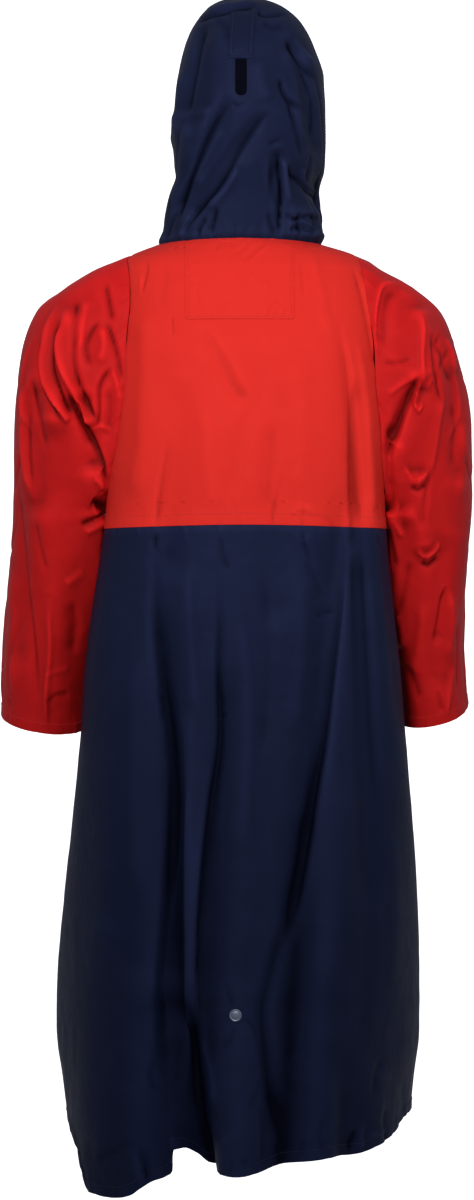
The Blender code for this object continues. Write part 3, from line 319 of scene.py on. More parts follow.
SKIRT_CREASES = (
    # the great troughs, sharper than in the solid
    (6, 13, -2.5, -7, -0.3, 0.2,
     "153,540 157,617 165,690 171,738 174,800 170,900 164,1000 168,1100"),
    (3, 8, -1.8, -6.5, -0.45, 0.5,
     "220,566 219,620 218,668 220,738 212,800 205,869 199,940 196,1010 190,1090"),
    (5, 6, 2.0, 4.5, 0, 0.2, "188,760 187,850 189,950 189,1050 186,1110"),
    (3.5, 8, -2.6, -6.5, 0.5, 0.55,
     "347,545 339,617 331,680 324,738 313,800 302,869 290,925 279,960"),
    (7, 10, -3.0, -5.0, 0.3, 0.3, "285,920 274,970 264,1012 268,1060 278,1140"),
    (4, 9, -2.6, -2.4, 0.2, 0.3, "361,536 367,641 372,738 380,830"),
    (5, 6, -1.2, -1.4, 0, 0.1, "383,540 392,640 402,740"),
    # soft ridges and hollows between them
    (14, 20, 2.0, 3.5, 0, 0, "120,560 116,700 108,850 104,1000"),
    (9, 12, 1.2, 2.0, 0, 0, "136,640 134,760 136,900"),
    (10, 10, 1.8, 2.2, 0.2, 0, "186,560 190,640 196,720"),
    (12, 14, 2.0, 2.4, 0.3, 0, "240,600 246,720 240,860"),
    (8, 9, -1.2, -1.4, 0, 0, "262,560 268,660 262,760"),
    (12, 12, 1.4, 1.8, 0, 0, "298,560 300,650 290,740"),
    (14, 18, 2.2, 2.6, 0, 0, "346,760 338,880 326,1000"),
    (12, 12, -1.6, -2.0, 0.2, 0, "372,860 368,960 360,1060"),
    (9, 9, 1.6, 1.8, 0, 0, "392,820 396,920 392,1000"),
    # short creases at the waist seam
    (2.0, 4, -2.0, -0.8, 0.4, 0.6, "302,533 306,548 314,566"),
    (1.8, 1.8, 1.2, 1.0, 0, 0.6, "296,536 304,541 312,535"),
    (1.8, 2.2, -1.4, -0.8, 0.5, 0.6, "337,610 326,613 314,617"),
    (4, 5, -1.0, -0.8, 0.3, 0.3, "306,560 316,578 322,600"),
    (3, 4, -1.0, -1.2, 0.5, 0.3, "221,536 222,552 228,572"),
    (2.5, 3, -1.6, -1.6, 0.3, 0.4, "156,534 154,548"),
    (2.2, 3, -1.0, -0.6, 0.3, 0.4, "378,536 384,552"),
    (2.0, 2.4, -1.0, -0.8, 0.4, 0.5, "158,690 163,705 162,722"),
    (1.8, 1.8, -0.9, -0.5, 0.3, 0.5, "219,700 227,702"),
    (1.8, 1.8, -1.0, -0.5, 0.3, 0.5, "220,716 228,714"),
    # pull round the press stud
    (2.2, 3.5, -1.6, -0.6, 0.3, 0.5, "232,1010 229,998 226,984"),
    (2.2, 4, -1.4, -0.6, 0.3, 0.4, "235,1026 231,1040 222,1052"),
    (2.4, 4, -1.2, -0.6, 0.3, 0.3, "243,1020 254,1028 258,1044"),
    (3, 4, 0.8, 0.5, 0, 0.2, "226,1014 214,1010"),
    (3, 5, 1.8, 2.2, 0.5, 0.5, "202,1034 206,1054 212,1076 216,1110"),
    # creases near the hem
    (2.2, 5, -3.4, -0.8, 0.5, 0.7, "147,1184 144,1168 138,1150"),
    (3.5, 5, 1.8, 0.6, 0, 0.3, "139,1180 135,1160 130,1148"),
    (3.5, 5, -1.4, -0.8, 0.4, 0.3, "96,1166 104,1158 120,1150 130,1140"),
    (3, 4, -1.6, -0.8, 0.4, 0.5, "158,1095 150,1082 154,1060"),
    (1.8, 3.0, -1.8, -0.8, 0.4, 0.7, "229,1176 233,1164 241,1156"),
    (1.8, 3.0, -1.6, -0.8, 0.4, 0.7, "236,1175 241,1166 250,1160"),
    (1.6, 2.4, -1.4, -0.6, 0.3, 0.6, "244,1172 246,1160"),
    (2.4, 3.4, 1.4, 0.6, 0, 0.4, "222,1170 226,1158"),
    (3, 5, -1.6, -1.0, 0.3, 0.4, "262,1168 264,1140 262,1110"),
    (3, 4, -1.2, -0.8, 0.4, 0.4, "248,1112 256,1095 262,1080"),
    (2.4, 2.8, -2.2, -2.2, 0.4, 0.7, "357,1132 352,1142 348,1152"),
    (2.2, 2.6, 2.4, 2.4, 0.6, 0.7, "362,1128 361,1150"),
    (2.4, 2.4, 1.8, 1.8, 0.5, 0.6, "363,1138 374,1136 386,1131"),
    (2.2, 4, -2.6, -1.2, 0.4, 0.6, "388,1146 385,1128 386,1108"),
    (2.6, 4, -1.8, -1.0, 0.4, 0.5, "373,1096 376,1075 383,1060"),
    (2.4, 3, 1.6, 1.0, 0.4, 0.5, "374,1078 384,1076 392,1078"),
    (3, 4, -2.0, -1.2, 0.2, 0.3, "400,1130 404,1105 402,1085"),
    (2.6, 4, -1.2, -0.6, 0.3, 0.4, "300,1158 304,1140"),
    (2.6, 4, -1.2, -0.6, 0.3, 0.4, "322,1156 320,1138 324,1120"),
    (2.6, 4, -1.0, -0.5, 0.3, 0.4, "109,1198 108,1184"),
)
LEFT_CREASES = (
    # the two long loops that hang from the shoulder
    (3.6, 3.4, 2.6, 5.0, -0.5, 0.35, "60,304 50,324 43,350 44,376 55,402 69,423", (0.3, 0.05)),
    (2.4, 2.6, -1.8, -2.6, 0, 0.5, "47,330 41,352 41,376 50,402 64,425"),
    (2.8, 2.8, -2.6, -3.6, 0, 0.45, "64,318 55,340 52,366 60,392 73,416", (0.2, 0.1)),
    (4.0, 4.0, 2.6, 5.4, -0.4, 0.3, "69,308 60,333 60,358 68,385 80,405 91,426", (0.3, 0.05)),
    (2.8, 2.8, -1.4, -2.8, 0, 0.45, "78,330 74,352 78,378 88,404 96,424", (0.3, 0.1)),
    (3.0, 5, -2.0, -7.0, 0.45, 0.55, "63,377 70,393 77,408 88,432 98,455 108,488"),
    (3.0, 3, 2.0, 2.0, 0.3, 0.5, "88,440 98,466 106,492"),
    # lens shapes by the armhole
    (3.2, 3.6, -2.0, -2.0, 0.3, 0.4, "105,283 109,302 113,322"),
    (3, 3.4, -1.6, -1.6, -0.3, 0.4, "99,320 90,335 86,350 90,368"),
    (2.6, 2.8, -2.2, -1.6, 0.4, 0.55, "106,320 114,342 119,362 123,384"),
    (6, 6, 2.2, 1.8, 0, 0.2, "103,326 104,345 100,364"),
    (2.6, 3, -2.6, -2.2, -0.4, 0.5, "112,367 103,378 98,392 97,418 91,430"),
    (2.4, 3, 1.8, 1.2, 0.4, 0.5, "112,368 117,382 121,402"),
    (6, 6, -1.6, -2.2, 0, 0.2, "108,388 110,410 106,440"),
    (2.4, 2.6, 2.6, 1.6, 0.4, 0.5, "92,430 101,426 112,432"),
    (5, 5, 1.8, 1.4, 0.2, 0.2, "88,300 82,330 80,352"),
    (4, 4, -1.6, -1.4, 0, 0.2, "78,300 74,330 75,352"),
    # under the arm
    (3, 3, 2.6, 1.4, 0.4, 0.4, "93,478 99,481 104,490"),
    (2.6, 3, -3.0, -3.4, 0.5, 0.6, "80,525 92,519 105,511"),
    (3, 3, 2.4, 1.6, 0, 0.4, "84,533 97,527 106,522"),
    (5, 6, -3.0, -4.5, 0, 0.2, "92,500 100,506 107,508"),
    # down the outside
    (3, 3, 2.4, 1.8, -0.3, 0.45, "32,374 25,398 23,440 26,474 35,502"),
    (2.6, 3, -2.0, -1.2, -0.4, 0.5, "32,378 36,404 40,424 46,450"),
    (3, 3, -1.6, -1.4, 0, 0.2, "30,410 29,450 32,486"),
    (3.5, 4, -1.6, -2.6, 0.35, 0.4, "18,470 21,520 25,560 28,600 34,648 37,700"),
    (3, 3.4, -1.6, -1.0, 0.35, 0.4, "35,520 40,548 47,572"),
    (5, 6, 1.4, 1.8, 0, 0.1, "14,560 13,640 12,700"),
    (4, 3.5, 1.4, 3.6, 0.2, 0.5, "48,600 50,650 46,700 46,728"),
    (4, 5, 1.8, 1.2, 0.3, 0.3, "64,584 74,578 84,570"),
    (6, 6, -1.8, -2.2, 0.3, 0.2, "72,600 76,625 72,655"),
    (2.6, 3, 1.0, 0.8, 0.4, 0.4, "44,676 56,671 70,667"),
    (3, 4, -1.2, -1.2, 0.4, 0.4, "45,704 56,696 70,693"),
    (2, 2, -1.0, -0.8, 0.3, 0.5, "8,697 11,708"),
)
RIGHT_CREASES = (
    # loop beside the armhole
    (2.6, 2.2, 2.4, 2.2, 0.55, 0.6, "398,285 384,286 378,298 375,325 377,362"),
    (6, 6, -1.6, -1.4, 0, 0.1, "404,290 390,296 385,315 384,350"),
    (2.4, 2.6, -2.4, -2.2, 0.4, 0.6, "352,262 358,276 364,292"),
    (2.6, 3, -1.2, -0.8, 0.4, 0.4, "382,362 396,363 412,358"),
    # pocket fold and the long ridges above it
    (2.8, 3, 2.2, 2.4, 0.4, 0.5, "419,312 423,330 422,356 424,386"),
    (2.2, 2.4, 3.0, 3.2, -0.3, 0.5, "420,378 416,392 414,404 418,411 423,402"),
    (3.2, 6, -3.4, -4.2, 0.5, 0.55, "418,379 408,402 398,428 386,462"),
    (3, 4, 1.8, 1.2, 0.4, 0.4, "419,374 402,384 386,396"),
    (2.4, 2.8, -2.4, -1.8, 0.4, 0.55, "432,330 434,355 437,380 441,405"),
    (2.0, 2.2, 1.2, 1.2, 0, 0.5, "428,388 431,378 435,384"),
    (2.0, 2.2, -1.6, -1.4, 0.3, 0.6, "440,334 436,346 442,358 440,372"),
    (2.2, 2.4, -1.6, -1.2, 0.3, 0.6, "447,350 444,366 450,384"),
    (2.2, 2.4, 1.4, 1.2, 0, 0.5, "444,338 450,352 452,372"),
    (4, 5, 2.0, 2.2, 0.3, 0.3, "442,392 438,420 434,450 428,478"),
    (4, 5, -1.8, -1.6, 0, 0.3, "452,400 455,430 452,470"),
    (5, 5, 1.4, 1.4, 0, 0.1, "462,420 463,460 460,500"),
    # shadowed hollow under the arm
    (7, 7, -3.0, -3.4, 0, 0.1, "392,420 389,455 388,500"),
    (3.4, 3.4, 2.6, 2.2, 0.4, 0.4, "388,512 396,522 404,538"),
    (4, 5, -2.4, -2.0, 0, 0.3, "386,524 390,545 396,570"),
    # facets down the back of the arm
    (2.4, 2.6, 3.0, 2.6, 0.55, 0.65, "404,467 412,478 418,480 428,472"),
    (3.2, 3.2, -2.2, -1.8, 0, 0.3, "410,486 418,490 428,484"),
    (3.4, 4, -1.8, -1.4, 0.3, 0.4, "430,470 426,500 422,530"),
    (2.4, 2.6, 3.0, 2.4, 0.55, 0.65, "417,549 425,556 432,552 440,541"),
    (3.4, 3.4, -2.4, -1.6, 0, 0.3, "420,562 429,565 438,556"),
    (3, 6, -3.2, -3.4, -0.45, 0.5, "448,585 443,598 440,620 436,645"),
    (4, 5, 2.0, 2.0, 0, 0.2, "450,590 452,620 448,660"),
    (5, 5, -2.0, -1.6, 0, 0.2, "410,560 402,590 398,612"),
    (5, 6, 2.0, 1.8, 0.2, 0.2, "396,612 402,630 404,650"),
    (6, 7, 1.4, 1.6, 0, 0.1, "424,600 420,640 414,676"),
    (5, 6, -2.0, -1.8, 0, 0.2, "404,664 412,680 418,700"),
    (3, 3, 1.4, 2.4, 0.3, 0.4, "454,665 449,690 446,716"),
    (3, 3, -1.2, -1.4, 0.3, 0.4, "438,690 442,712"),
)
HOOD_CREASES = (
    (5, 5, -3.0, -3.0, 0.2, 0.2, "207,24 200,45 195,68 190,95 188,120"),
    (4, 4, 2.0, 1.6, 0, 0.2, "184,70 179,100 177,140"),
    (3.4, 4, -1.8, -4.2, 0.5, 0.6, "229,104 219,120 210,137 202,155 195,172 184,200 174,228"),
    (5, 6, 1.4, 2.0, 0, 0.1, "222,128 208,158 196,190"),
    (2.4, 3.2, -1.4, -3.4, 0.5, 0.65,
     "271,112 258,126 246,142 236,158 228,174 216,192 198,212 182,233"),
    (4, 5, 1.6, 2.0, 0.2, 0.2, "238,170 226,190 208,210"),
    (2.4, 2.6, -2.0, -2.0, 0.3, 0.5, "217,208 214,222 210,236"),
    (2.4, 2.4, -1.6, -2.0, 0.3, 0.5, "206,218 200,228 197,238"),
    (2.4, 2.4, 1.6, 2.0, 0.3, 0.5, "192,214 184,226 180,240"),
    (2.4, 2.4, -1.6, -2.2, 0.3, 0.5, "176,212 170,224 166,240"),
    (2.2, 2.6, -2.4, -2.6, 0.5, 0.7, "278,154 279,176 281,200 279,238"),
    (3, 3.4, 1.6, 1.4, 0.2, 0.3, "284,160 287,185 290,205"),
    (2.0, 2.2, -1.2, -1.0, 0.3, 0.5, "268,146 274,144 281,140"),
    (2.2, 2.8, -2.2, -2.2, 0.5, 0.65, "286,42 294,58 302,69 314,80"),
    (3.0, 3.4, 1.6, 1.6, 0.2, 0.3, "293,40 301,54 312,68"),
    (2.4, 2.8, -2.4, -2.2, 0.5, 0.65, "280,80 283,92 288,101 300,111"),
    (2.6, 3.2, -2.2, -1.8, 0.4, 0.5, "288,102 294,120 298,138 302,160"),
    (2.4, 3, -1.8, -1.6, 0.4, 0.5, "300,72 306,84 311,100"),
    (2.6, 3, -1.8, -1.6, 0.3, 0.5, "311,96 313,120 311,140"),
    (2.6, 3, 1.4, 1.4, 0.2, 0.3, "304,118 306,140 310,160"),
    (2.4, 2.6, -2.0, -2.0, 0.4, 0.6, "289,164 293,176 302,182 318,203"),
    (2.6, 3, 1.6, 1.4, 0.2, 0.4, "302,168 308,184 320,198"),
    # gathers over the neck seam
    (2.0, 2.2, -1.8, -1.8, 0.3, 0.6, "284,214 294,220 306,217 318,222"),
    (2.0, 2.2, 1.6, 1.4, 0.3, 0.6, "288,226 299,222 311,228 322,226"),
    (1.8, 2.0, -1.6, -1.4, 0.3, 0.6, "286,232 297,229 310,235"),
    (1.8, 2.0, -1.8, -1.6, 0.3, 0.6, "298,212 297,224 301,238"),
    (1.8, 2.0, -1.6, -1.6, 0.3, 0.6, "309,214 312,226 309,238"),
    (1.8, 2.0, 1.4, 1.4, 0.3, 0.6, "290,216 288,238"),
    (1.8, 2.0, 1.4, 1.4, 0.3, 0.6, "316,208 320,222 317,236"),
    (2.4, 2.6, -1.2, -1.4, 0.3, 0.4, "268,214 272,226 276,238"),
    # over the crown
    (2.2, 2.2, -2.4, -2.4, 0.3, 0.7, "196,27 208,19 222,15 238,11.5 258,8.5"),
    (4, 4, 1.8, 1.8, 0, 0.2, "206,15 222,10 240,7 258,4"),
    (1.8, 1.8, -2.0, -1.2, 0.3, 0.7, "258,9 259,13 261,17 272,18 286,16"),
    (5, 5, -1.2, -1.2, 0.2, 0.2, "214,20 226,30 228,44"),
    (3, 3.4, -1.2, -1.0, 0.3, 0.3, "262,24 274,30 284,28"),
    (8, 8, 1.2, 1.2, 0, 0, "258,60 262,84 268,104"),
    (1.8, 1.8, -0.8, -0.6, 0.2, 0.4, "232,104 238,108 244,104"),
)
# creases on the side that the picture doesn't show, in the same units, seen through the cloth
FRONT_CREASES = (
    (6, 8, -1.6, -2.4, 0.4, 0.4, "130,300 136,360 140,420"),
    (6, 8, -1.8, -2.2, -0.4, 0.4, "352,300 342,360 338,430"),
    (7, 9, -1.4, -2.4, 0.3, 0.2, "200,330 220,380 228,440 226,520"),
    (7, 9, -1.2, -2.0, -0.3, 0.2, "282,340 268,400 262,520"),
    (2.2, 5, -2.2, -0.8, 0.5, 0.6, "176,528 180,505 188,470"),
    (2.2, 5, -1.8, -0.6, 0.5, 0.6, "318,528 312,506 308,480"),
    (4, 11, -2.2, -6, 0.4, 0.4, "150,545 146,640 138,760 128,900 120,1050"),
    (4, 10, -2.0, -5, -0.3, 0.3, "196,560 198,680 206,820 204,1000"),
    (4, 10, -2.0, -5, 0.3, 0.4, "252,548 258,660 262,800 270,980"),
    (4, 11, -2.2, -6, -0.4, 0.4, "318,550 326,680 338,820 350,1000"),
    (10, 12, 2.0, 3.0, 0, 0, "226,700 228,820 236,960"),
    (10, 12, 2.0, 3.0, 0, 0, "290,700 298,840 306,980"),
    (8, 9, 2.4, 3.0, 0.2, 0.2, "170,900 164,1000 168,1120"),
    (2.4, 4, -2.0, -0.8, 0.4, 0.6, "180,1140 184,1120 192,1104"),
    (2.4, 4, -2.0, -0.8, 0.4, 0.6, "300,1140 297,1122 290,1108"),
    (2.4, 4, -2.0, -0.8, 0.4, 0.6, "370,1140 366,1118 360,1100"),
)
ARM_FRONT_CREASES = (
    (4, 4, 2.6, 3.4, -0.4, 0.5, "66,320 52,350 50,385 66,420"),
    (4, 5, -2.4, -3.4, 0.4, 0.4, "84,350 92,390 104,430"),
    (3.4, 4, -2.8, -2.4, 0.5, 0.5, "60,450 74,476 92,486"),
    (4, 5, -2.0, -2.2, 0.3, 0.3, "40,440 34,500 36,560"),
    (3.4, 4, -2.4, -2.0, 0.4, 0.5, "58,520 66,548 84,560"),
    (4, 4, -1.8, -2.0, 0.3, 0.4, "30,600 40,650 42,700"),
    (4, 4, 1.8, 1.6, 0.2, 0.3, "60,620 58,670 62,710"),
    (4, 4, 2.6, 3.4, 0.4, 0.5, "410,320 424,352 424,390 408,424"),
    (4, 5, -2.4, -3.2, -0.4, 0.4, "392,350 384,392 378,430"),
    (3.4, 4, -2.8, -2.2, -0.5, 0.5, "416,450 402,478 388,488"),
    (4, 5, -2.0, -2.2, 0.3, 0.3, "440,440 446,500 442,560"),
    (3.4, 4, -2.4, -2.0, 0.4, 0.5, "414,540 404,560 392,566"),
    (4, 4, -1.8, -2.0, 0.3, 0.4, "446,590 438,650 436,700"),
    (4, 4, 1.8, 1.6, 0.2, 0.3, "418,620 420,670 414,704"),
)
ARM_SIDE_CREASES = (
    (4, 4, 2.4, 3.0, -0.4, 0.5, "262,330 250,370 254,410 272,440"),
    (4, 5, -2.4, -2.6, 0.4, 0.4, "190,300 202,350 226,392"),
    (3.4, 4, -2.4, -2.4, 0.5, 0.5, "250,450 222,478 190,486"),
    (4, 5, -2.0, -2.2, 0.3, 0.3, "150,420 164,470 160,540"),
    (3.4, 4, -2.4, -2.0, 0.4, 0.5, "216,520 190,548 160,556"),
    (4, 4, -2.0, -2.2, 0.3, 0.4, "120,560 128,620 122,690"),
    (4, 4, 2.0, 1.8, 0.2, 0.3, "176,600 170,660 176,716"),
    (4, 4, -1.8, -1.8, 0.3, 0.4, "222,620 206,660 204,704"),
)
# where the hood's outline is drawn in or stands out: side, height, width and depth in metres
HOOD_PINCHES = (
    (-1.0, 0.104, 0.016, -0.0050),
    (-1.0, 0.066, 0.012, 0.0050),
    (-1.0, 0.044, 0.006, 0.0045),
    (-1.0, 0.238, 0.014, 0.0020),
    (1.0, 0.112, 0.014, -0.0030),
    (1.0, 0.162, 0.012, 0.0035),
    (1.0, 0.178, 0.006, 0.0020),
    (1.0, 0.052, 0.010, -0.0020),
)
HOOD_SIDE_CREASES = (
    (4, 5, -2.2, -3.0, 0.4, 0.5, "290,60 262,100 232,150 214,226"),
    (4, 5, -2.2, -2.6, 0.4, 0.5, "300,110 276,150 258,226"),
    (6, 7, 2.0, 2.0, 0.2, 0.1, "312,60 306,110 298,160"),
    (5, 6, -1.8, -2.0, 0.3, 0.3, "240,40 226,90 208,140"),
    (3, 4, -1.8, -2.4, 0.4, 0.5, "180,150 190,190 200,236"),
    (3, 3, 1.6, 2.0, 0.4, 0.5, "166,200 176,220 184,242"),
    (5, 5, 1.4, 1.6, 0.2, 0.2, "200,40 196,80 186,120"),
)


# ------------------------------------------------------------------------ form of the solids
def smooth(t):
    t = np.clip(t, 0.0, 1.0)
    return t * t * (3.0 - 2.0 * t)


def read(rows, column, at):
    """A column's value at a place: a smooth curve through the rows that never overshoots."""
    place = next(iter(rows.values()))
    order = np.argsort(place)
    x = place[order]
    y = rows[column][order]
    step = np.diff(x)
    rise = np.diff(y) / step
    slope = np.zeros_like(y)
    slope[0] = rise[0]
    slope[-1] = rise[-1]
    near = 2 * step[1:] + step[:-1]
    far = step[1:] + 2 * step[:-1]
    same_way = rise[:-1] * rise[1:] > 0
    before = np.where(same_way, rise[:-1], 1.0)
    after = np.where(same_way, rise[1:], 1.0)
    slope[1:-1] = np.where(same_way, (near + far) / (near / before + far / after), 0.0)
    at = np.clip(at, x[0], x[-1])
    i = np.clip(np.searchsorted(x, at, side="right") - 1, 0, len(step) - 1)
    t = (at - x[i]) / step[i]
    start = (1 + 2 * t) * (1 - t) ** 2 * y[i] + t * (1 - t) ** 2 * step[i] * slope[i]
    end = t * t * (3 - 2 * t) * y[i + 1] + t * t * (t - 1) * step[i] * slope[i + 1]
    return start + end


def fold_height(folds, x, z):
    total = np.zeros_like(x)
    for i in range(len(folds["x1"])):
        f = {name: column[i] for name, column in folds.items()}
        run = np.array([f["x2"] - f["x1"], f["z2"] - f["z1"]])
        length = math.hypot(*run)
        t = ((x - f["x1"]) * run[0] + (z - f["z1"]) * run[1]) / length**2
        inside = np.clip(t, 0.0, 1.0)
        off = ((x - f["x1"]) * run[1] - (z - f["z1"]) * run[0]) / length
        off = off - f["bow"] * 4 * inside * (1 - inside)
        width = f["width1"] + (f["width2"] - f["width1"]) * inside
        width = width * (1 + f["lean"] * np.tanh(off / width))
        depth = f["depth1"] + (f["depth2"] - f["depth1"]) * inside
        ends = smooth(t / 0.14) * smooth((1 - t) / 0.14)
        total = total + depth * ends * np.exp(-((off / width) ** 2))
    return total


def unit(vectors):
    return vectors / np.linalg.norm(vectors, axis=-1, keepdims=True)


def normals_of(surface, across, along, step=1e-3):
    by_across = surface(across + step, along) - surface(across - step, along)
    by_along = surface(across, along + step) - surface(across, along - step)
    return unit(np.cross(by_across, by_along))


def tube_normals(surface, turn, along):
    return normals_of(surface, turn, np.clip(along, 2e-3, 1 - 2e-3))


def even_steps(row, count):
    """Places from -1 to 1 along a row of cloth that part it into equal lengths."""
    fine = np.linspace(-1.0, 1.0, 801)
    points = row(fine)
    lengths = np.linalg.norm(np.diff(points, axis=0), axis=1)
    travelled = np.concatenate([[0.0], np.cumsum(lengths)])
    return np.interp(np.linspace(0.0, travelled[-1], count + 1), travelled, fine)


def body(angle, height):
    """Outer face of yokes and skirts; angle is 0 at centre back and 90 degrees at +X."""
    s = np.sin(angle)
    c = np.cos(angle)
    half = read(BODY, "half", height)
    depth = np.where(c > 0, read(BODY, "back", height), read(BODY, "front", height))
    power = read(BODY, "square", height)
    reach = (np.abs(s / half) ** power + np.abs(c / depth) ** power) ** (-1.0 / power)
    x = reach * s
    y = reach * c
    out_x = np.sign(x) * np.abs(x / half) ** (power - 1) / half
    out_y = np.sign(y) * np.abs(y / depth) ** (power - 1) / depth
    size = np.hypot(out_x, out_y)
    x = read(BODY, "shift", height) + x * (1 - read(BODY, "taper", height) * y / depth)
    y = read(BODY, "centre", height) + y
    behind = smooth((c + 0.25) / 0.5)
    lift = fold_height(BODY_BACK_FOLDS, x, height) * behind
    lift = lift + fold_height(BODY_FRONT_FOLDS, x, height) * (1 - behind)
    return np.stack([x + lift * out_x / size, y + lift * out_y / size, height], axis=-1)


def body_normals(angle, height):
    return -normals_of(body, angle, height)


def panel_angle(side, place, edge):
    if side == "back":
        return place * edge
    return math.pi - place * (math.pi - edge)


def panel_place(side, angle):
    from_centre = np.abs(angle) if side == "back" else np.abs(math.pi - angle)
    return np.clip(from_centre / (math.pi / 2), 0.0, 1.0)


def neck_height(side, place):
    top = NECK_BACK if side == "back" else NECK_FRONT
    return top + (NECK_SIDE - top) * np.sin(place * math.pi / 2) ** 2


def waist_height(place):
    return WAIST_CENTRE + (WAIST_SIDE - WAIST_CENTRE) * np.sin(place * math.pi / 2) ** 2


def yoke_grid(side, cells, arm_rows):
    middle = (SHOULDER + UNDERARM) / 2
    half = (SHOULDER - UNDERARM) / 2
    turns = np.linspace(0.0, math.pi, arm_rows + 1)
    rows = [(h, 90.0) for h in np.linspace(NECK_SIDE, SHOULDER, 5)[:-1]]
    rows += [(middle + half * math.cos(t), float(read(ARMHOLE, side, np.degrees(t))))
             for t in turns]
    rows += [(h, float(read(BODY, "seam", h))) for h in np.linspace(UNDERARM, WAIST_SIDE, 8)[1:]]
    angles = []
    heights = []
    for edge_height, degrees in rows:
        edge = math.radians(degrees)
        down = (NECK_SIDE - edge_height) / (NECK_SIDE - WAIST_SIDE)

        def place_on_row(place, edge=edge, down=down, edge_height=edge_height):
            angle = panel_angle(side, place, edge)
            blend = neck_height(side, panel_place(side, angle)) * (1 - down)
            blend = blend + waist_height(place) * down
            at_edge = panel_place(side, panel_angle(side, 1.0, edge))
            edge_blend = neck_height(side, at_edge) * (1 - down) + WAIST_SIDE * down
            return angle, blend + (edge_height - edge_blend) * place**4

        places = even_steps(lambda place: body(*place_on_row(place)), cells)
        angle, height = place_on_row(places)
        angles.append(angle)
        heights.append(height)
    return np.array(angles), np.array(heights)


def skirt_grid(side, cells, rows):
    angles = []
    heights = []
    for part in np.linspace(0.0, 1.0, rows + 1):

        def place_on_row(place, part=part):
            waist = waist_height(place)
            edge = np.radians(read(BODY, "seam", waist + (SIDE_SEAM_END - waist) * part))
            angle = panel_angle(side, place, edge)
            turned = (np.degrees(angle) + 180.0) % 360.0 - 180.0
            return angle, waist + (read(HEM, "height", turned) - waist) * part

        places = even_steps(lambda place: body(*place_on_row(place)), cells)
        angle, height = place_on_row(places)
        angles.append(angle)
        heights.append(height)
    return np.array(angles), np.array(heights)


def ring(turn, power):
    c = np.cos(turn)
    s = np.sin(turn)
    reach = (np.abs(c) ** power + np.abs(s) ** power) ** (-1.0 / power)
    return reach * c, reach * s


def armhole(turn, sign):
    height = (SHOULDER + UNDERARM) / 2 + (SHOULDER - UNDERARM) / 2 * np.cos(turn)
    from_top = np.degrees(np.arccos(np.clip(np.cos(turn), -1.0, 1.0)))
    back = read(ARMHOLE, "back", from_top)
    front = read(ARMHOLE, "front", from_top)
    angle = sign * np.radians(np.where(np.sin(turn) >= 0, back, front))
    return body(angle, height), body_normals(angle, height)


def sleeve_base(rows, sign, turn, along):
    outer = np.stack([sign * read(rows, "outer_x", along), read(rows, "outer_y", along),
                      read(rows, "outer_z", along)], axis=-1)
    inner = np.stack([sign * read(rows, "inner_x", along), read(rows, "inner_y", along),
                      read(rows, "inner_z", along)], axis=-1)
    out, side = ring(turn, SLEEVE_SQUARE)
    depth = side * np.where(side > 0, read(rows, "back", along), read(rows, "front", along))
    lean = np.radians(read(rows, "lean", along))
    point = (outer + inner) / 2 + (outer - inner) / 2 * out[..., None]
    point = point + np.stack([0 * depth, depth * np.cos(lean), -depth * np.sin(lean)], axis=-1)
    return point


def clear_of_body(point, sign, along):
    x, y, z = point[..., 0], point[..., 1], point[..., 2]
    y = y - read(BODY, "centre", z)
    depth = np.where(y > 0, read(BODY, "back", z), read(BODY, "front", z))
    power = read(BODY, "square", z)
    inside = np.clip(1 - np.abs(y / depth) ** power, 0.0, 1.0)
    side = read(BODY, "half", z) * inside ** (1 / power) * (1 - read(BODY, "taper", z) * y / depth)
    away = sign * (x - read(BODY, "shift", z)) - side - CLEARANCE
    kept = (away + np.sqrt(away**2 + (2 * CLEARANCE) ** 2)) / 2
    pushed = (kept - away) * smooth(along / 0.05)
    return point + np.stack([sign * pushed, 0 * pushed, 0 * pushed], axis=-1)


def sleeve(rows, folds, sign):
    def plain(turn, along):
        point = sleeve_base(rows, sign, turn, along)
        start = armhole(turn, sign)[0] - sleeve_base(rows, sign, turn, 0 * along)
        point = point + start * (1 - smooth(along / 0.26))[..., None]
        tuck = UNDERARM_TUCK * smooth((-0.2 - np.cos(turn)) / 0.6) * smooth((0.75 - along) / 0.35)
        tuck = tuck * smooth((UNDERARM - point[..., 2]) / TUCK_START) ** 1.3
        point = point - np.stack([sign * tuck, 0 * tuck, 0 * tuck], axis=-1)
        return clear_of_body(point, sign, along)

    def folded(turn, along):
        point = plain(turn, along)
        out = -sign * tube_normals(plain, turn, along)
        behind = smooth((out[..., 1] + 0.1) / 0.5)
        lift = fold_height(folds, point[..., 0], point[..., 2]) * behind
        in_front = fold_height(folds, point[..., 0], point[..., 2] + 0.03)
        lift = lift + in_front * smooth((-out[..., 1] + 0.1) / 0.5)
        return point + out * (lift * smooth(along / 0.15))[..., None]

    return folded


def neck_loop(turn):
    turn = (turn + math.pi) % (2 * math.pi) - math.pi
    at_back = np.abs(turn) <= math.pi / 2
    place = np.where(at_back, turn, math.pi - np.abs(turn)) / (math.pi / 2)
    place = np.where(at_back, place, place * np.where(turn < 0, -1.0, 1.0))
    angle = np.zeros_like(turn)
    height = np.zeros_like(turn)
    for side, mask in (("back", at_back), ("front", ~at_back)):

        def row(at, side=side):
            return panel_angle(side, at, math.pi / 2), neck_height(side, at)

        fine = even_steps(lambda at: body(*row(at)), 400)
        even = np.interp(place, np.linspace(-1.0, 1.0, 401), fine)
        side_angle, side_height = row(even)
        angle = np.where(mask, side_angle, angle)
        height = np.where(mask, side_height, height)
    return body(angle, height), body_normals(angle, height)


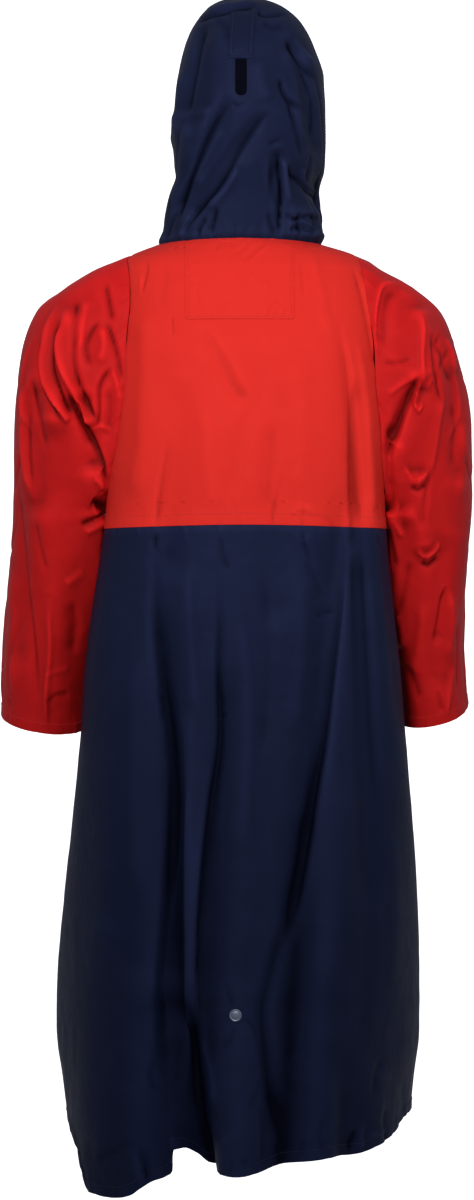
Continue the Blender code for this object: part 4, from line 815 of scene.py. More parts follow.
def hood_base(turn, along):
    out, side = ring(turn, read(HOOD, "square", along))
    width = side * np.where(side > 0, read(HOOD, "left", along), read(HOOD, "right", along))
    outer_y = read(HOOD, "outer_y", along)
    outer_z = read(HOOD, "outer_z", along)
    inner_y = read(HOOD, "inner_y", along)
    inner_z = read(HOOD, "inner_z", along)
    y = (outer_y + inner_y) / 2 + (outer_y - inner_y) / 2 * out
    z = (outer_z + inner_z) / 2 + (outer_z - inner_z) / 2 * out
    return np.stack([read(HOOD, "shift", along) + width, y, z], axis=-1)


def hood_plain(turn, along):
    start = neck_loop(turn)[0] - hood_base(turn, 0 * along)
    return hood_base(turn, along) + start * (1 - smooth(along / 0.5))[..., None]


def hood(turn, along):
    point = hood_plain(turn, along)
    out = -tube_normals(hood_plain, turn, along)
    behind = smooth((out[..., 1] + 0.1) / 0.5)
    lift = fold_height(HOOD_FOLDS, point[..., 0], point[..., 2]) * behind
    return point + out * (lift * smooth(along / 0.12))[..., None]


# --------------------------------------------------------------------------- fine creases
def picture_place(point):
    """Where a point of the garment is in the picture, in its pixels."""
    scale = CAMERA[1] / ((CAMERA[1] - point[..., 1]) * PIXEL)
    x = MIDDLE[0] - (point[..., 0] - CAMERA[0]) * scale
    y = MIDDLE[1] - (point[..., 2] - CAMERA[2]) * scale
    return x, y


def flat_place(point):
    """A place in the picture without perspective, for the side that it doesn't show."""
    x = MIDDLE[0] - (point[..., 0] - CAMERA[0]) / CREASE_PIXEL
    y = MIDDLE[1] - (point[..., 2] - CAMERA[2]) / CREASE_PIXEL
    return x, y


def curve_through(text, count=28):
    """Places on a smooth curve through the given ones."""
    keys = np.array([[float(v) for v in pair.split(",")] for pair in text.split()])
    ends = np.concatenate([[2 * keys[0] - keys[1]], keys, [2 * keys[-1] - keys[-2]]])
    places = []
    spans = len(keys) - 1
    for t in np.linspace(0.0, spans - 1e-6, count + 1):
        i = int(t)
        u = t - i
        a, b, c, d = ends[i], ends[i + 1], ends[i + 2], ends[i + 3]
        places.append(0.5 * (2 * b + (c - a) * u + (2 * a - 5 * b + 4 * c - d) * u**2
                             + (3 * b - a - 3 * c + d) * u**3))
    return np.array(places)


def crease_height(creases, x, y, strength=1.0):
    """How far the creases lift the cloth at places of the picture, in metres."""
    total = np.zeros(x.size)
    px = x.ravel()
    py = y.ravel()
    for first_width, last_width, first_depth, last_depth, lean, crisp, path, *fade in creases:
        line = curve_through(path)
        reach = 3.2 * max(first_width, last_width) / CREASE_PIXEL_MM
        low = line.min(0) - reach
        high = line.max(0) + reach
        near = np.flatnonzero((px > low[0]) & (px < high[0]) & (py > low[1]) & (py < high[1]))
        if not near.size:
            continue
        run = np.diff(line, axis=0)
        length = np.hypot(run[:, 0], run[:, 1])
        before = np.concatenate([[0.0], np.cumsum(length)])
        dx = px[near, None] - line[None, :-1, 0]
        dy = py[near, None] - line[None, :-1, 1]
        t = np.clip((dx * run[:, 0] + dy * run[:, 1]) / length**2, 0.0, 1.0)
        off_x = dx - t * run[:, 0]
        off_y = dy - t * run[:, 1]
        best = np.argmin(off_x**2 + off_y**2, axis=1)
        row = np.arange(len(near))
        away = np.hypot(off_x[row, best], off_y[row, best]) * CREASE_PIXEL_MM
        side = np.sign(run[best, 0] * off_y[row, best] - run[best, 1] * off_x[row, best])
        along = (before[best] + t[row, best] * length[best]) / before[-1]
        width = first_width + (last_width - first_width) * along
        depth = first_depth + (last_depth - first_depth) * along
        width = width * (1 + 0.75 * lean * side * np.minimum(away / width, 1.0))
        power = 2.0 - 0.85 * crisp
        profile = np.exp(-(((away / width) ** 2 + 0.02) ** (power / 2) - 0.02 ** (power / 2)))
        start, end = fade[0] if fade else (0.22, 0.22)
        ends = smooth(along / start + 0.12) * smooth((1 - along) / end + 0.12)
        total[near] += depth * ends * profile
    return total.reshape(x.shape) * 0.001 * strength


def lattice_noise(points, size, seed):
    """Smooth noise between -1 and 1 over space, with features of a size in metres."""
    values = np.random.default_rng(seed).uniform(-1.0, 1.0, (32, 32, 32))
    where = points / size + 100.0
    cell = np.floor(where).astype(int)
    t = where - cell
    t = t * t * (3 - 2 * t)
    total = np.zeros(points.shape[:-1])
    for corner in range(8):
        step = np.array([corner & 1, corner >> 1 & 1, corner >> 2 & 1])
        weight = np.prod(np.where(step == 1, t, 1 - t), axis=-1)
        index = (cell + step) % 32
        total = total + weight * values[index[..., 0], index[..., 1], index[..., 2]]
    return total


def crumple(points, size, seed):
    """Crumpled cloth: sharp low ridges where two noises cross."""
    bent = points + 0.35 * size * np.stack(
        [lattice_noise(points, size, seed + k) for k in range(3)], axis=-1)
    ridge = 1 - 2 * np.abs(lattice_noise(bent, size, seed + 5))
    small = 1 - 2 * np.abs(lattice_noise(bent, size * 0.45, seed + 6))
    return 0.7 * ridge + 0.3 * small


def border_distance(points, axis, end):
    """Length of cloth from one border of a grid to each of its points."""
    step = np.linalg.norm(np.diff(points, axis=axis), axis=-1)
    zero = np.zeros_like(np.take(step, [0], axis=axis))
    travelled = np.concatenate([zero, np.cumsum(step, axis=axis)], axis=axis)
    if end == "first":
        return travelled
    return np.take(travelled, [-1], axis=axis) - travelled


def run_along(points, axis):
    """Length of cloth along a border's own direction."""
    return border_distance(points, axis, "first")


def puckers(run, away, spacing, height, depth, seed, reach=0.014):
    """Small uneven gathers across a seam: run is the length along it, away the one from it."""
    random = np.random.default_rng(seed)
    total = np.zeros_like(run)
    at = random.uniform(0.0, spacing)
    while at < run.max():
        lift = random.uniform(0.35, 1.0) * height * random.choice((-1.0, 1.0, -1.0))
        width = random.uniform(0.6, 1.3) * depth
        slant = random.uniform(-0.5, 0.5)
        length = random.uniform(0.6, 1.6) * reach
        total = total + lift * np.exp(-(((run - at - slant * away) / width) ** 2)
                                      - (away / length) ** 2)
        at = at + random.uniform(0.5, 1.6) * spacing
    return total


def groove(away, depth=0.0011, width=0.0030):
    return -depth * np.exp(-((away / width) ** 2))


# -------------------------------------------------------------------------- making meshes
def grid_normals(points, closed_round):
    """Normals of a grid of points, rows first."""
    down = np.gradient(points, axis=0)
    if closed_round:
        right = (np.roll(points, -1, axis=1) - np.roll(points, 1, axis=1)) / 2
    else:
        right = np.gradient(points, axis=1)
    return unit(np.cross(down, right))


def outward_normals(points, closed_round=False):
    """Normals of a grid of points that face away from the middle of the garment's piece."""
    normal = grid_normals(points, closed_round)
    middle = points.mean(axis=(0, 1)) if closed_round else np.array([0.0, 0.0, -0.3])
    away = points - middle
    away[..., 2] = 0.0
    return normal if np.sum(normal * away) > 0 else -normal


def tucked(points, normal, ends, out=0.0006, deep=0.0030):
    """Adds the turned-in edge of a seam at the named borders of a grid of cloth."""
    for end in ends:
        axis = 0 if end in ("first", "last") else 1
        at = 0 if end in ("first", "left") else -1
        nxt = 1 if at == 0 else -2
        border = np.take(points, [at], axis=axis)
        ahead = unit(border - np.take(points, [nxt], axis=axis))
        facing = np.take(normal, [at], axis=axis)
        near = border + 0.5 * out * ahead - 0.2 * deep * facing
        far = border + out * ahead - deep * facing
        if at == 0:
            points = np.concatenate([far, near, points], axis=axis)
            normal = np.concatenate([facing, facing, normal], axis=axis)
        else:
            points = np.concatenate([points, near, far], axis=axis)
            normal = np.concatenate([normal, facing, facing], axis=axis)
    return points, normal


def hollowness(points, normal, closed_round):
    """How far the cloth lies below the cloth round it, in millimetres; the materials paint shade
    where it lies deep and highlights where it stands out.
    """
    soft = points
    for _ in range(HOLLOW_PASSES):
        up = np.concatenate([soft[:1], soft[:-1]])
        down = np.concatenate([soft[1:], soft[-1:]])
        soft = (up + 2 * soft + down) / 4
        if closed_round:
            left = np.roll(soft, 1, axis=1)
            right = np.roll(soft, -1, axis=1)
        else:
            left = np.concatenate([soft[:, :1], soft[:, :-1]], axis=1)
            right = np.concatenate([soft[:, 1:], soft[:, -1:]], axis=1)
        soft = (left + 2 * soft + right) / 4
    return 1000 * np.sum((soft - points) * normal, axis=-1)


def placed(name, data):
    """An object in the scene that holds a mesh, a light or a camera."""
    made = bpy.data.objects.new(name, data)
    bpy.context.scene.collection.objects.link(made)
    return made


def cloth(name, points, closed_round=False, thick=SHEET, ends=()):
    """A thin closed shell whose outer face is a grid of points, with lengths as its UVs."""
    normal = outward_normals(points, closed_round)
    hollow = hollowness(points, normal, closed_round)
    points, normal = tucked(points, normal, ends)
    before = (2 * ("first" in ends), 2 * ("last" in ends))
    beside = (2 * ("left" in ends), 2 * ("right" in ends))
    hollow = np.pad(hollow, (before, beside), mode="edge")
    rows, columns = points.shape[:2]
    inner = points - thick * normal
    across = columns if closed_round else columns - 1
    r, c = np.meshgrid(np.arange(rows - 1), np.arange(across), indexing="ij")
    after = (c + 1) % columns
    a = r * columns + c
    b = r * columns + after
    d = (r + 1) * columns + c
    e = (r + 1) * columns + after
    count = rows * columns
    outside = np.stack([a, d, e, b], axis=-1).reshape(-1, 4)
    inside = np.stack([a, b, e, d], axis=-1).reshape(-1, 4) + count
    c = np.arange(across)
    after = (c + 1) % columns
    last = (rows - 1) * columns
    rims = [
        np.stack([c, after, after + count, c + count], axis=-1),
        np.stack([last + after, last + c, last + c + count, last + after + count], axis=-1),
    ]
    if not closed_round:
        r = np.arange(rows - 1) * columns
        rims.append(np.stack([r + columns, r, r + count, r + columns + count], axis=-1))
        right = r + columns - 1
        rims.append(np.stack([right, right + columns, right + columns + count, right + count],
                             axis=-1))
    faces = np.concatenate([outside, inside, *rims])
    r = rows // 2
    c = columns // 2
    flat = np.cross(points[r, c + 1] - points[r, c], points[r + 1, c] - points[r, c])
    if np.dot(flat, normal[r, c]) > 0:
        faces = faces[:, ::-1]
    mesh = bpy.data.meshes.new(name)
    mesh.from_pydata(np.concatenate([points.reshape(-1, 3), inner.reshape(-1, 3)]).tolist(), [],
                     faces.tolist())
    wide = run_along(points, 1)
    wide = wide - wide[:, [columns // 2]]
    long = run_along(points, 0)
    places = np.stack([wide, long], axis=-1).reshape(-1, 2)
    places = np.concatenate([places, places])
    layer = mesh.uv_layers.new(name="cloth")
    index = np.zeros(len(mesh.loops), int)
    mesh.loops.foreach_get("vertex_index", index)
    layer.data.foreach_set("uv", places[index].astype(np.float32).ravel())
    # how deep each point lies in a fold, kept for the painted shade and painted highlights of the
    # materials
    deep_in = mesh.attributes.new("hollow", "FLOAT", "POINT")
    deep_in.data.foreach_set("value", np.tile(hollow.ravel(), 2).astype(np.float32))
    mesh.shade_smooth()
    mesh.set_sharp_from_angle(angle=math.radians(60.0))
    return placed(name, mesh)


def stitches(name, runs, length=0.0026, gap=0.0011, thick=0.00028, lift=0.0001):
    """Threads laid along lines of cloth; each run is its points and the cloth's normals."""
    corners = []
    faces = []
    for points, normals in runs:
        step = np.linalg.norm(np.diff(points, axis=0), axis=1)
        travelled = np.concatenate([[0.0], np.cumsum(step)])
        start = np.arange(0.0, travelled[-1] - length, length + gap)
        stations = start[:, None] + length * THREAD["at"]
        lie = THREAD["height"] * thick + lift
        size = THREAD["size"] * thick
        place = np.stack([np.interp(stations, travelled, points[:, k]) for k in range(3)], -1)
        up = unit(np.stack([np.interp(stations, travelled, normals[:, k]) for k in range(3)], -1))
        ahead = unit(place[:, -1:] - place[:, :1])
        side = unit(np.cross(ahead, up))
        centre = place + up * lie[None, :, None]
        turns = np.arange(THREAD_SIDES) * 2 * math.pi / THREAD_SIDES
        rings = (centre[:, :, None] + size[None, :, None, None] * (
            side[:, :, None] * np.cos(turns)[None, None, :, None] * 1.25
            + up[:, :, None] * np.sin(turns)[None, None, :, None]))
        base = sum(len(part) for part in corners)
        corners.append(rings.reshape(-1, 3))
        in_one = THREAD_SIDES * len(lie)
        for first in range(base, base + in_one * len(start), in_one):
            faces.append([first + q for q in range(THREAD_SIDES)])
            faces.append([first + in_one - 1 - q for q in range(THREAD_SIDES)])
            for low in range(first, first + in_one - THREAD_SIDES, THREAD_SIDES):
                high = low + THREAD_SIDES
                for q in range(THREAD_SIDES):
                    nxt = (q + 1) % THREAD_SIDES
                    faces.append([low + q, high + q, high + nxt, low + nxt])
    mesh = bpy.data.meshes.new(name)
    mesh.from_pydata(np.concatenate(corners).tolist(), [], faces)
    mesh.shade_smooth()
    return placed(name, mesh)


def line_at(points, normals, axis, end, distance):
    """The line on a grid of cloth that runs at a distance from one of its borders."""
    away = border_distance(points, axis, end)
    if axis == 1:
        points = points.transpose(1, 0, 2)
        normals = normals.transpose(1, 0, 2)
        away = away.T
    if end == "last":
        points = points[::-1]
        normals = normals[::-1]
        away = away[::-1]
    line = []
    facing = []
    for c in range(points.shape[1]):
        line.append([np.interp(distance, away[:, c], points[:, c, k]) for k in range(3)])
        facing.append([np.interp(distance, away[:, c], normals[:, c, k]) for k in range(3)])
    return np.array(line), unit(np.array(facing))


# ------------------------------------------------------------------------------ materials
def node(tree, kind, **values):
    made = tree.nodes.new(kind)
    for name, value in values.items():
        if name in made.inputs:
            made.inputs[name].default_value = value
        else:
            setattr(made, name, value)
    return made


def new_material(name):
    """A new material, with its node tree and its shader."""
    made = bpy.data.materials.new(name)
    made.use_nodes = True
    return made, made.node_tree, made.node_tree.nodes["Principled BSDF"]


def noise(tree, **values):
    """Noise over the object's own space."""
    where = node(tree, "ShaderNodeTexCoord")
    made = node(tree, "ShaderNodeTexNoise", **values)
    tree.links.new(where.outputs["Object"], made.inputs["Vector"])
    return made.outputs["Fac"]


def mixed(tree, factor, first, second):
    """A colour that goes from the first to the second as the factor goes from 0 to 1."""
    mix = node(tree, "ShaderNodeMix", data_type="RGBA")
    mix.inputs[6].default_value = (*first, 1.0)
    mix.inputs[7].default_value = (*second, 1.0)
    tree.links.new(factor, mix.inputs[0])
    return mix.outputs[2]


def uneven_roughness(tree, shader, factor, low, high):
    rough = node(tree, "ShaderNodeMapRange")
    rough.inputs["To Min"].default_value = low
    rough.inputs["To Max"].default_value = high
    tree.links.new(factor, rough.inputs["Value"])
    tree.links.new(rough.outputs["Result"], shader.inputs["Roughness"])


def cloth_material(name, colour, shade, roughness, gloss, crease=1.0, tint=(1.0, 1.0, 1.0),
                   painted_fold_shade=0.3, light=1.35):
    """Coated woven cloth: a fine plain weave, a soft crumple, slightly uneven colour, and painted
    shade in its folds with a painted highlight along their ridges.
    """
    made, tree, shader = new_material(name)
    shader.inputs["Specular IOR Level"].default_value = gloss
    shader.inputs["Specular Tint"].default_value = (*tint, 1.0)
    under = mixed(tree, noise(tree, Scale=7.0, Detail=4.0, Roughness=0.55), shade, colour)
    # painted shade down in the folds and a little painted highlight along their ridges
    hollow = node(tree, "ShaderNodeAttribute", attribute_name="hollow")
    for low, high, factor in ((0.2, 2.6, painted_fold_shade), (-0.2, -2.6, light)):
        span = node(tree, "ShaderNodeMapRange")
        span.inputs["From Min"].default_value = low
        span.inputs["From Max"].default_value = high
        tree.links.new(hollow.outputs["Fac"], span.inputs["Value"])
        painted_shading = node(tree, "ShaderNodeMix", data_type="RGBA")
        painted_shading.inputs[7].default_value = (*(factor * part for part in colour), 1.0)
        tree.links.new(span.outputs["Result"], painted_shading.inputs[0])
        tree.links.new(under, painted_shading.inputs[6])
        under = painted_shading.outputs[2]
    tree.links.new(under, shader.inputs["Base Color"])
    fine = noise(tree, Scale=60.0, Detail=3.0, Roughness=0.6)
    uneven_roughness(tree, shader, fine, roughness - 0.07, roughness + 0.09)
    # weave from the cloth's own lengths
    place = node(tree, "ShaderNodeUVMap", uv_map="cloth")
    warp = node(tree, "ShaderNodeTexWave", Scale=420.0)
    weft = node(tree, "ShaderNodeTexWave", Scale=420.0, bands_direction="Y")
    for wave in (warp, weft):
        tree.links.new(place.outputs["UV"], wave.inputs["Vector"])
    weave = node(tree, "ShaderNodeMath", operation="ADD")
    tree.links.new(warp.outputs["Fac"], weave.inputs[0])
    tree.links.new(weft.outputs["Fac"], weave.inputs[1])
    crumpled = noise(tree, Scale=34.0, Detail=5.0, Roughness=0.5, Distortion=0.6)
    soft = node(tree, "ShaderNodeBump", Strength=0.55 * crease, Distance=0.0016)
    tree.links.new(crumpled, soft.inputs["Height"])
    threads = node(tree, "ShaderNodeBump", Strength=0.10, Distance=0.0002)
    tree.links.new(weave.outputs["Value"], threads.inputs["Height"])
    tree.links.new(soft.outputs["Normal"], threads.inputs["Normal"])
    tree.links.new(threads.outputs["Normal"], shader.inputs["Normal"])
    return made


def thread_material(name, colour):
    made, tree, shader = new_material(name)
    shader.inputs["Roughness"].default_value = 0.6
    shade = [0.75 * part for part in colour]
    tint = mixed(tree, noise(tree, Scale=900.0, Detail=2.0), shade, colour)
    tree.links.new(tint, shader.inputs["Base Color"])
    return made


def steel_material(name):
    made, tree, shader = new_material(name)
    shader.inputs["Metallic"].default_value = 0.85
    grain = noise(tree, Scale=500.0, Detail=4.0)
    tint = mixed(tree, grain, (0.13, 0.15, 0.20), (0.24, 0.27, 0.34))
    tree.links.new(tint, shader.inputs["Base Color"])
    uneven_roughness(tree, shader, grain, 0.30, 0.46)
    return made


# the two factors after the tint scale each colour for the painted shade in its folds and the
# painted highlight on their ridges; the black strip keeps the defaults
RED = cloth_material("red_cloth", (0.60, 0.024, 0.017), (0.55, 0.019, 0.014), 0.55, 0.05, 0.6,
                     tint=(1.0, 0.45, 0.4), painted_fold_shade=0.55, light=1.15)
SLEEVE_RED = cloth_material("sleeve_cloth", (0.46, 0.0100, 0.0100), (0.40, 0.0080, 0.0085),
                            0.50, 0.08, tint=(1.0, 0.3, 0.3), painted_fold_shade=0.25, light=1.4)
NAVY = cloth_material("navy_cloth", (0.0088, 0.0118, 0.0325), (0.0068, 0.0092, 0.026), 0.50, 0.06,
                      tint=(0.35, 0.45, 1.0), painted_fold_shade=0.2, light=1.5)
BLACK = cloth_material("black_strip", (0.0020, 0.0020, 0.006), (0.0012, 0.0012, 0.004),
                       0.9, 0.03, 0.5)
RED_THREAD = thread_material("red_thread", (0.50, 0.016, 0.012))
NAVY_THREAD = thread_material("navy_thread", (0.0085, 0.011, 0.030))
STEEL = steel_material("snap_steel")


def dress(piece, material, nodes=()):
    piece.data.materials.append(material)
    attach(piece, "root")
    if nodes:
        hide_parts(*nodes)
    return piece


# --------------------------------------------------------------------------- pieces: body
def behind_share(normal):
    return smooth((normal[..., 1] + 0.15) / 0.4)


def borders(point):
    """Lengths of cloth to the first and last rows and to the first and last columns."""
    return [border_distance(point, axis, end) for axis in (0, 1) for end in ("first", "last")]


def turned_edge(away, wide=0.0115, thick=0.0005):
    """Cloth turned in behind an edge lifts the strip beside it."""
    return thick * (1 - smooth((away - wide) / 0.003))


def body_lift(point, normal, seen):
    """Fine creases over yokes and skirts: the seen ones behind, the others in front."""
    x, y = picture_place(point)
    share = behind_share(normal)
    lift = crease_height(seen, x, y, BODY_STRENGTH) * share
    return lift + crease_height(FRONT_CREASES, *flat_place(point)) * (1 - share)


red_runs = []
navy_runs = []


def make_yoke(name, side, cells, arm_rows):
    angle, height = yoke_grid(side, cells, arm_rows)
    point = body(angle, height)
    normal = outward_normals(point)
    lift = body_lift(point, normal, YOKE_CREASES)
    neck, waist, left, right = borders(point)
    across = run_along(point, 1)
    down = run_along(point, 0)
    seed = 11 if side == "back" else 12
    lift = lift * smooth(0.35 + neck / 0.02)
    lift = lift + puckers(across, np.abs(waist - 0.013), 0.021, 0.0007, 0.0026, seed, 0.010)
    lift = lift + puckers(across, neck, 0.024, 0.0006, 0.0030, seed + 2, 0.016)
    for away, number in ((left, 3), (right, 4)):
        lift = lift + puckers(down, away, 0.030, 0.0006, 0.0035, seed + number, 0.012)
    lift = lift + groove(waist, 0.0008) + groove(neck, 0.0008)
    lift = lift + groove(left, 0.0005) + groove(right, 0.0005)
    lift = lift + turned_edge(waist)
    lift = lift + 0.0004 * crumple(point, 0.045, seed)
    point = point + normal * lift[..., None]
    shell = cloth(name + "_cloth", point, ends=("first", "last", "left", "right"))
    piece = dress(shell, RED, [name])
    facing = outward_normals(point)
    red_runs.append(line_at(point, facing, 0, "last", HEM_STITCHES))
    red_runs.append(line_at(point, facing, 0, "first", NECK_STITCHES))
    return piece


def make_skirt(name, side, cells, rows):
    angle, height = skirt_grid(side, cells, rows)
    point = body(angle, height)
    normal = outward_normals(point)
    lift = body_lift(point, normal, SKIRT_CREASES)
    waist, hem, left, right = borders(point)
    across = run_along(point, 1)
    down = run_along(point, 0)
    seed = 31 if side == "back" else 32
    lift = lift * smooth(0.25 + waist / 0.012)
    lift = lift + puckers(across, waist, 0.026, 0.0008, 0.0030, seed, 0.016)
    lift = lift + puckers(across, hem, 0.030, 0.0012, 0.0036, seed + 2, 0.016)
    for away, number in ((left, 5), (right, 6)):
        lift = lift + puckers(down, away, 0.045, 0.0008, 0.0045, seed + number, 0.012)
        lift = lift + groove(away, 0.0007)
    lift = lift + groove(waist, 0.0013)
    lift = lift + turned_edge(hem)
    lift = lift + (0.0006 + 0.0008 * smooth(1 - hem / 0.25)) * crumple(point, 0.06, seed)
    point = point + normal * lift[..., None]
    shell = cloth(name + "_cloth", point, ends=("first", "left", "right"))
    piece = dress(shell, NAVY, [name])
    facing = outward_normals(point)
    navy_runs.append(line_at(point, facing, 0, "last", HEM_STITCHES))
    return piece


def turns_round(start, count):
    """Turns right round a tube from its hidden side, close together on the seen side."""
    part = np.linspace(0.0, 1.0, count + 1)[:-1] * 2 * math.pi
    return start + part + 0.45 * np.sin(part)


def make_sleeve(name, rows, folds, sign, creases):
    shape = sleeve(rows, folds, sign)
    turn, along = np.meshgrid(turns_round(1.5 * math.pi, 200), np.linspace(0.0015, 1.0, 191))
    point = shape(turn, along)
    normal = outward_normals(point, True)
    x, y = picture_place(point)
    share = behind_share(normal)
    lift = crease_height(creases, x, y, SLEEVE_STRENGTH) * share
    lift = lift + crease_height(ARM_FRONT_CREASES, *flat_place(point)) * (1 - share)
    lift = lift + side_lift(point, normal, ARM_SIDE_CREASES, sign)
    inward = smooth((-sign * normal[..., 0] - 0.1) / 0.5)
    low = (point[..., 2] - ARMPIT["height"]) / ARMPIT["width"]
    lift = lift + ARMPIT["lift"] * inward * np.exp(-(low**2))
    top = border_distance(point, 0, "first")
    cuff = border_distance(point, 0, "last")
    across = run_along(point, 1)
    seed = 51 if sign > 0 else 61
    lift = lift * smooth(0.3 + top / 0.016)
    lift = lift + puckers(across, top, 0.028, 0.0009, 0.0034, seed, 0.016)
    lift = lift + puckers(across, cuff, 0.030, 0.0010, 0.0036, seed + 2, 0.016)
    lift = lift + groove(top, 0.0006) + turned_edge(cuff)
    lift = lift + 0.0010 * crumple(point, 0.050, seed)
    point = point + normal * lift[..., None]
    shell = cloth(name + "_cloth", point, closed_round=True, ends=("first",))
    piece = dress(shell, SLEEVE_RED, [name])
    facing = outward_normals(point, True)
    red_runs.append(line_round(point, facing, HEM_STITCHES))
    return piece


def line_round(point, facing, inset):
    """A line of stitches right round a tube, near its last row."""
    line, up = line_at(point, facing, 0, "last", inset)
    return np.concatenate([line, line[:1]]), np.concatenate([up, up[:1]])


def side_lift(point, normal, creases, sign):
    """Creases placed in a view from the side, x along +Y, for cloth that faces that way."""
    x = MIDDLE[0] + point[..., 1] / CREASE_PIXEL
    y = SIDE_TOP - point[..., 2] / CREASE_PIXEL
    return crease_height(creases, x, y) * smooth((sign * normal[..., 0] - 0.55) / 0.35)


def make_hood_piece(name, start, end, rows, columns):
    turn, along = np.meshgrid(turns_round(math.pi, columns), np.linspace(start, end, rows + 1))
    point = hood(turn, along)
    normal = outward_normals(point, True)
    lift = hood_lift(point, normal)
    first = border_distance(point, 0, "first")
    last = border_distance(point, 0, "last")
    across = run_along(point, 1)
    if start < CROWN_SEAM:
        seed = 71
        lift = lift * smooth(0.3 + first / 0.012)
        lift = lift + puckers(across, first, 0.012, 0.0011, 0.0026, seed, 0.018)
        lift = lift + groove(first, 0.0020) + groove(last)
        lift = lift + puckers(across, last, 0.034, 0.0004, 0.0030, seed + 1, 0.010)
        point = point + normal * lift[..., None]
        point = tucked(point, normal, ("first",), 0.0045, 0.0015)[0]
        ends = ("last",)
        inset = CROWN_STITCHES
    else:
        seed = 81
        lift = lift + groove(first) + turned_edge(last, 0.0165, 0.0006)
        lift = lift + puckers(across, first, 0.034, 0.0004, 0.0030, seed + 1, 0.010)
        lift = lift + puckers(across, last, 0.030, 0.0007, 0.0034, seed + 2, 0.014)
        point = point + normal * lift[..., None]
        ends = ("first",)
        inset = BRIM_STITCHES
    shell = cloth(name + "_cloth", point, closed_round=True, ends=ends)
    piece = dress(shell, NAVY, [name])
    navy_runs.append(line_round(point, outward_normals(point, True), inset))
    return piece


def hood_lift(point, normal):
    """Fine creases over the hood."""
    x, y = picture_place(point)
    lift = crease_height(HOOD_CREASES, x, y, HOOD_STRENGTH) * behind_share(normal)
    for side, height, width, depth in HOOD_PINCHES:
        facing = smooth((side * normal[..., 0] - 0.35) / 0.4)
        lift = lift + depth * facing * np.exp(-(((point[..., 2] - height) / width) ** 2))
    lift = lift + side_lift(point, normal, HOOD_SIDE_CREASES, 1.0)
    lift = lift + side_lift(point, normal, HOOD_SIDE_CREASES, -1.0)
    return lift + 0.0007 * crumple(point, 0.045, 71)


def on_body(x, z):
    """The body's angle where a line along Y through x and z meets its back."""
    angle = x / 0.16
    for _ in range(8):
        ahead = body(angle + 1e-4, z)[..., 0]
        here = body(angle, z)[..., 0]
        angle = angle - (here - x) * 1e-4 / (ahead - here)
    return angle


def on_hood(x, z):
    """The hood's turn and along where a line along Y through x and z meets its back."""
    turn = -x / 0.09
    along = 0.2 + 0 * x
    for _ in range(7):
        here = hood(turn, along)
        by_turn = (hood(turn + 1e-4, along) - here) * 1e4
        by_along = (hood(turn, along + 1e-4) - here) * 1e4
        miss_x = x - here[..., 0]
        miss_z = z - here[..., 2]
        size = by_turn[..., 0] * by_along[..., 2] - by_turn[..., 2] * by_along[..., 0]
        d_turn = (miss_x * by_along[..., 2] - miss_z * by_along[..., 0]) / size
        d_along = (by_turn[..., 0] * miss_z - by_turn[..., 2] * miss_x) / size
        turn = turn + np.clip(d_turn, -0.2, 0.2)
        along = along + np.clip(d_along, -0.08, 0.08)
    return turn, along


def laid_grid(place, rows, columns, inset=0.0):
    u, v = np.meshgrid(np.linspace(0, 1, columns + 1), np.linspace(0, 1, rows + 1))
    left = place["left"] - inset
    right = place["right"] + inset
    x = left + (right - left) * u + place.get("slant", 0.0) * (v - 0.5)
    z = place["top"] - inset + (place["bottom"] - place["top"] + 2 * inset) * v
    return x, z


def rounded(x, z, radius, ends):
    """Pulls the corners of a grid in so that they are round; ends says which ones."""
    low_x, high_x, low_z, high_z = x.min(), x.max(), z.min(), z.max()
    for right in (0, 1):
        for bottom in (0, 1):
            if ends == "bottom" and not bottom:
                continue
            cx = low_x + radius if right else high_x - radius
            cz = low_z + radius if bottom else high_z - radius
            dx = (cx - x if right else x - cx) / radius
            dz = (cz - z if bottom else z - cz) / radius
            corner = (dx > 0) & (dz > 0)
            far = np.maximum(np.maximum(dx, dz), 1e-9)
            pull = np.where(corner, far / np.maximum(np.hypot(dx, dz), 1e-9), 1.0)
            x = np.where(corner, cx + (x - cx) * pull, x)
            z = np.where(corner, cz + (z - cz) * pull, z)
    return x, z


def make_patch():
    x, z = laid_grid(PATCH, 64, 84)
    x, z = rounded(x, z, 0.003, "all")
    angle = on_body(x, z)
    base = body(angle, z)
    normal = body_normals(angle, z)
    lift = body_lift(base, normal, YOKE_CREASES) + 0.0004 * crumple(base, 0.045, 11)
    px, py = picture_place(base)
    top, bottom, left, right = borders(base)
    edge = np.minimum(np.minimum(left, right), np.minimum(top, bottom))
    inner = smooth(edge / 0.006)
    lift = lift + np.maximum(crease_height(PATCH_CREASES, px, py), -0.0009) * (0.3 + 0.7 * inner)
    lift = lift + 0.0011 + 0.0005 * smooth(edge / 0.002)
    lift = lift - 0.0004 * np.exp(-((edge - 0.0030) / 0.0012) ** 2)
    across = run_along(base, 1)
    down = run_along(base, 0)
    lift = lift + puckers(across, top, 0.016, 0.0005, 0.0026, 91, 0.010)
    lift = lift + puckers(across, bottom, 0.016, 0.0005, 0.0026, 92, 0.010)
    lift = lift + puckers(down, left, 0.018, 0.0004, 0.0026, 93, 0.008)
    lift = lift + puckers(down, right, 0.018, 0.0004, 0.0026, 94, 0.008)
    point = base + normal * lift[..., None]
    piece = dress(cloth("neck_patch_cloth", point, thick=0.0007), RED,
                  ["neck_patch"])
    facing = outward_normals(point)
    red_runs.extend(frame_of_stitches(point, facing, PATCH_STITCHES))
    return piece


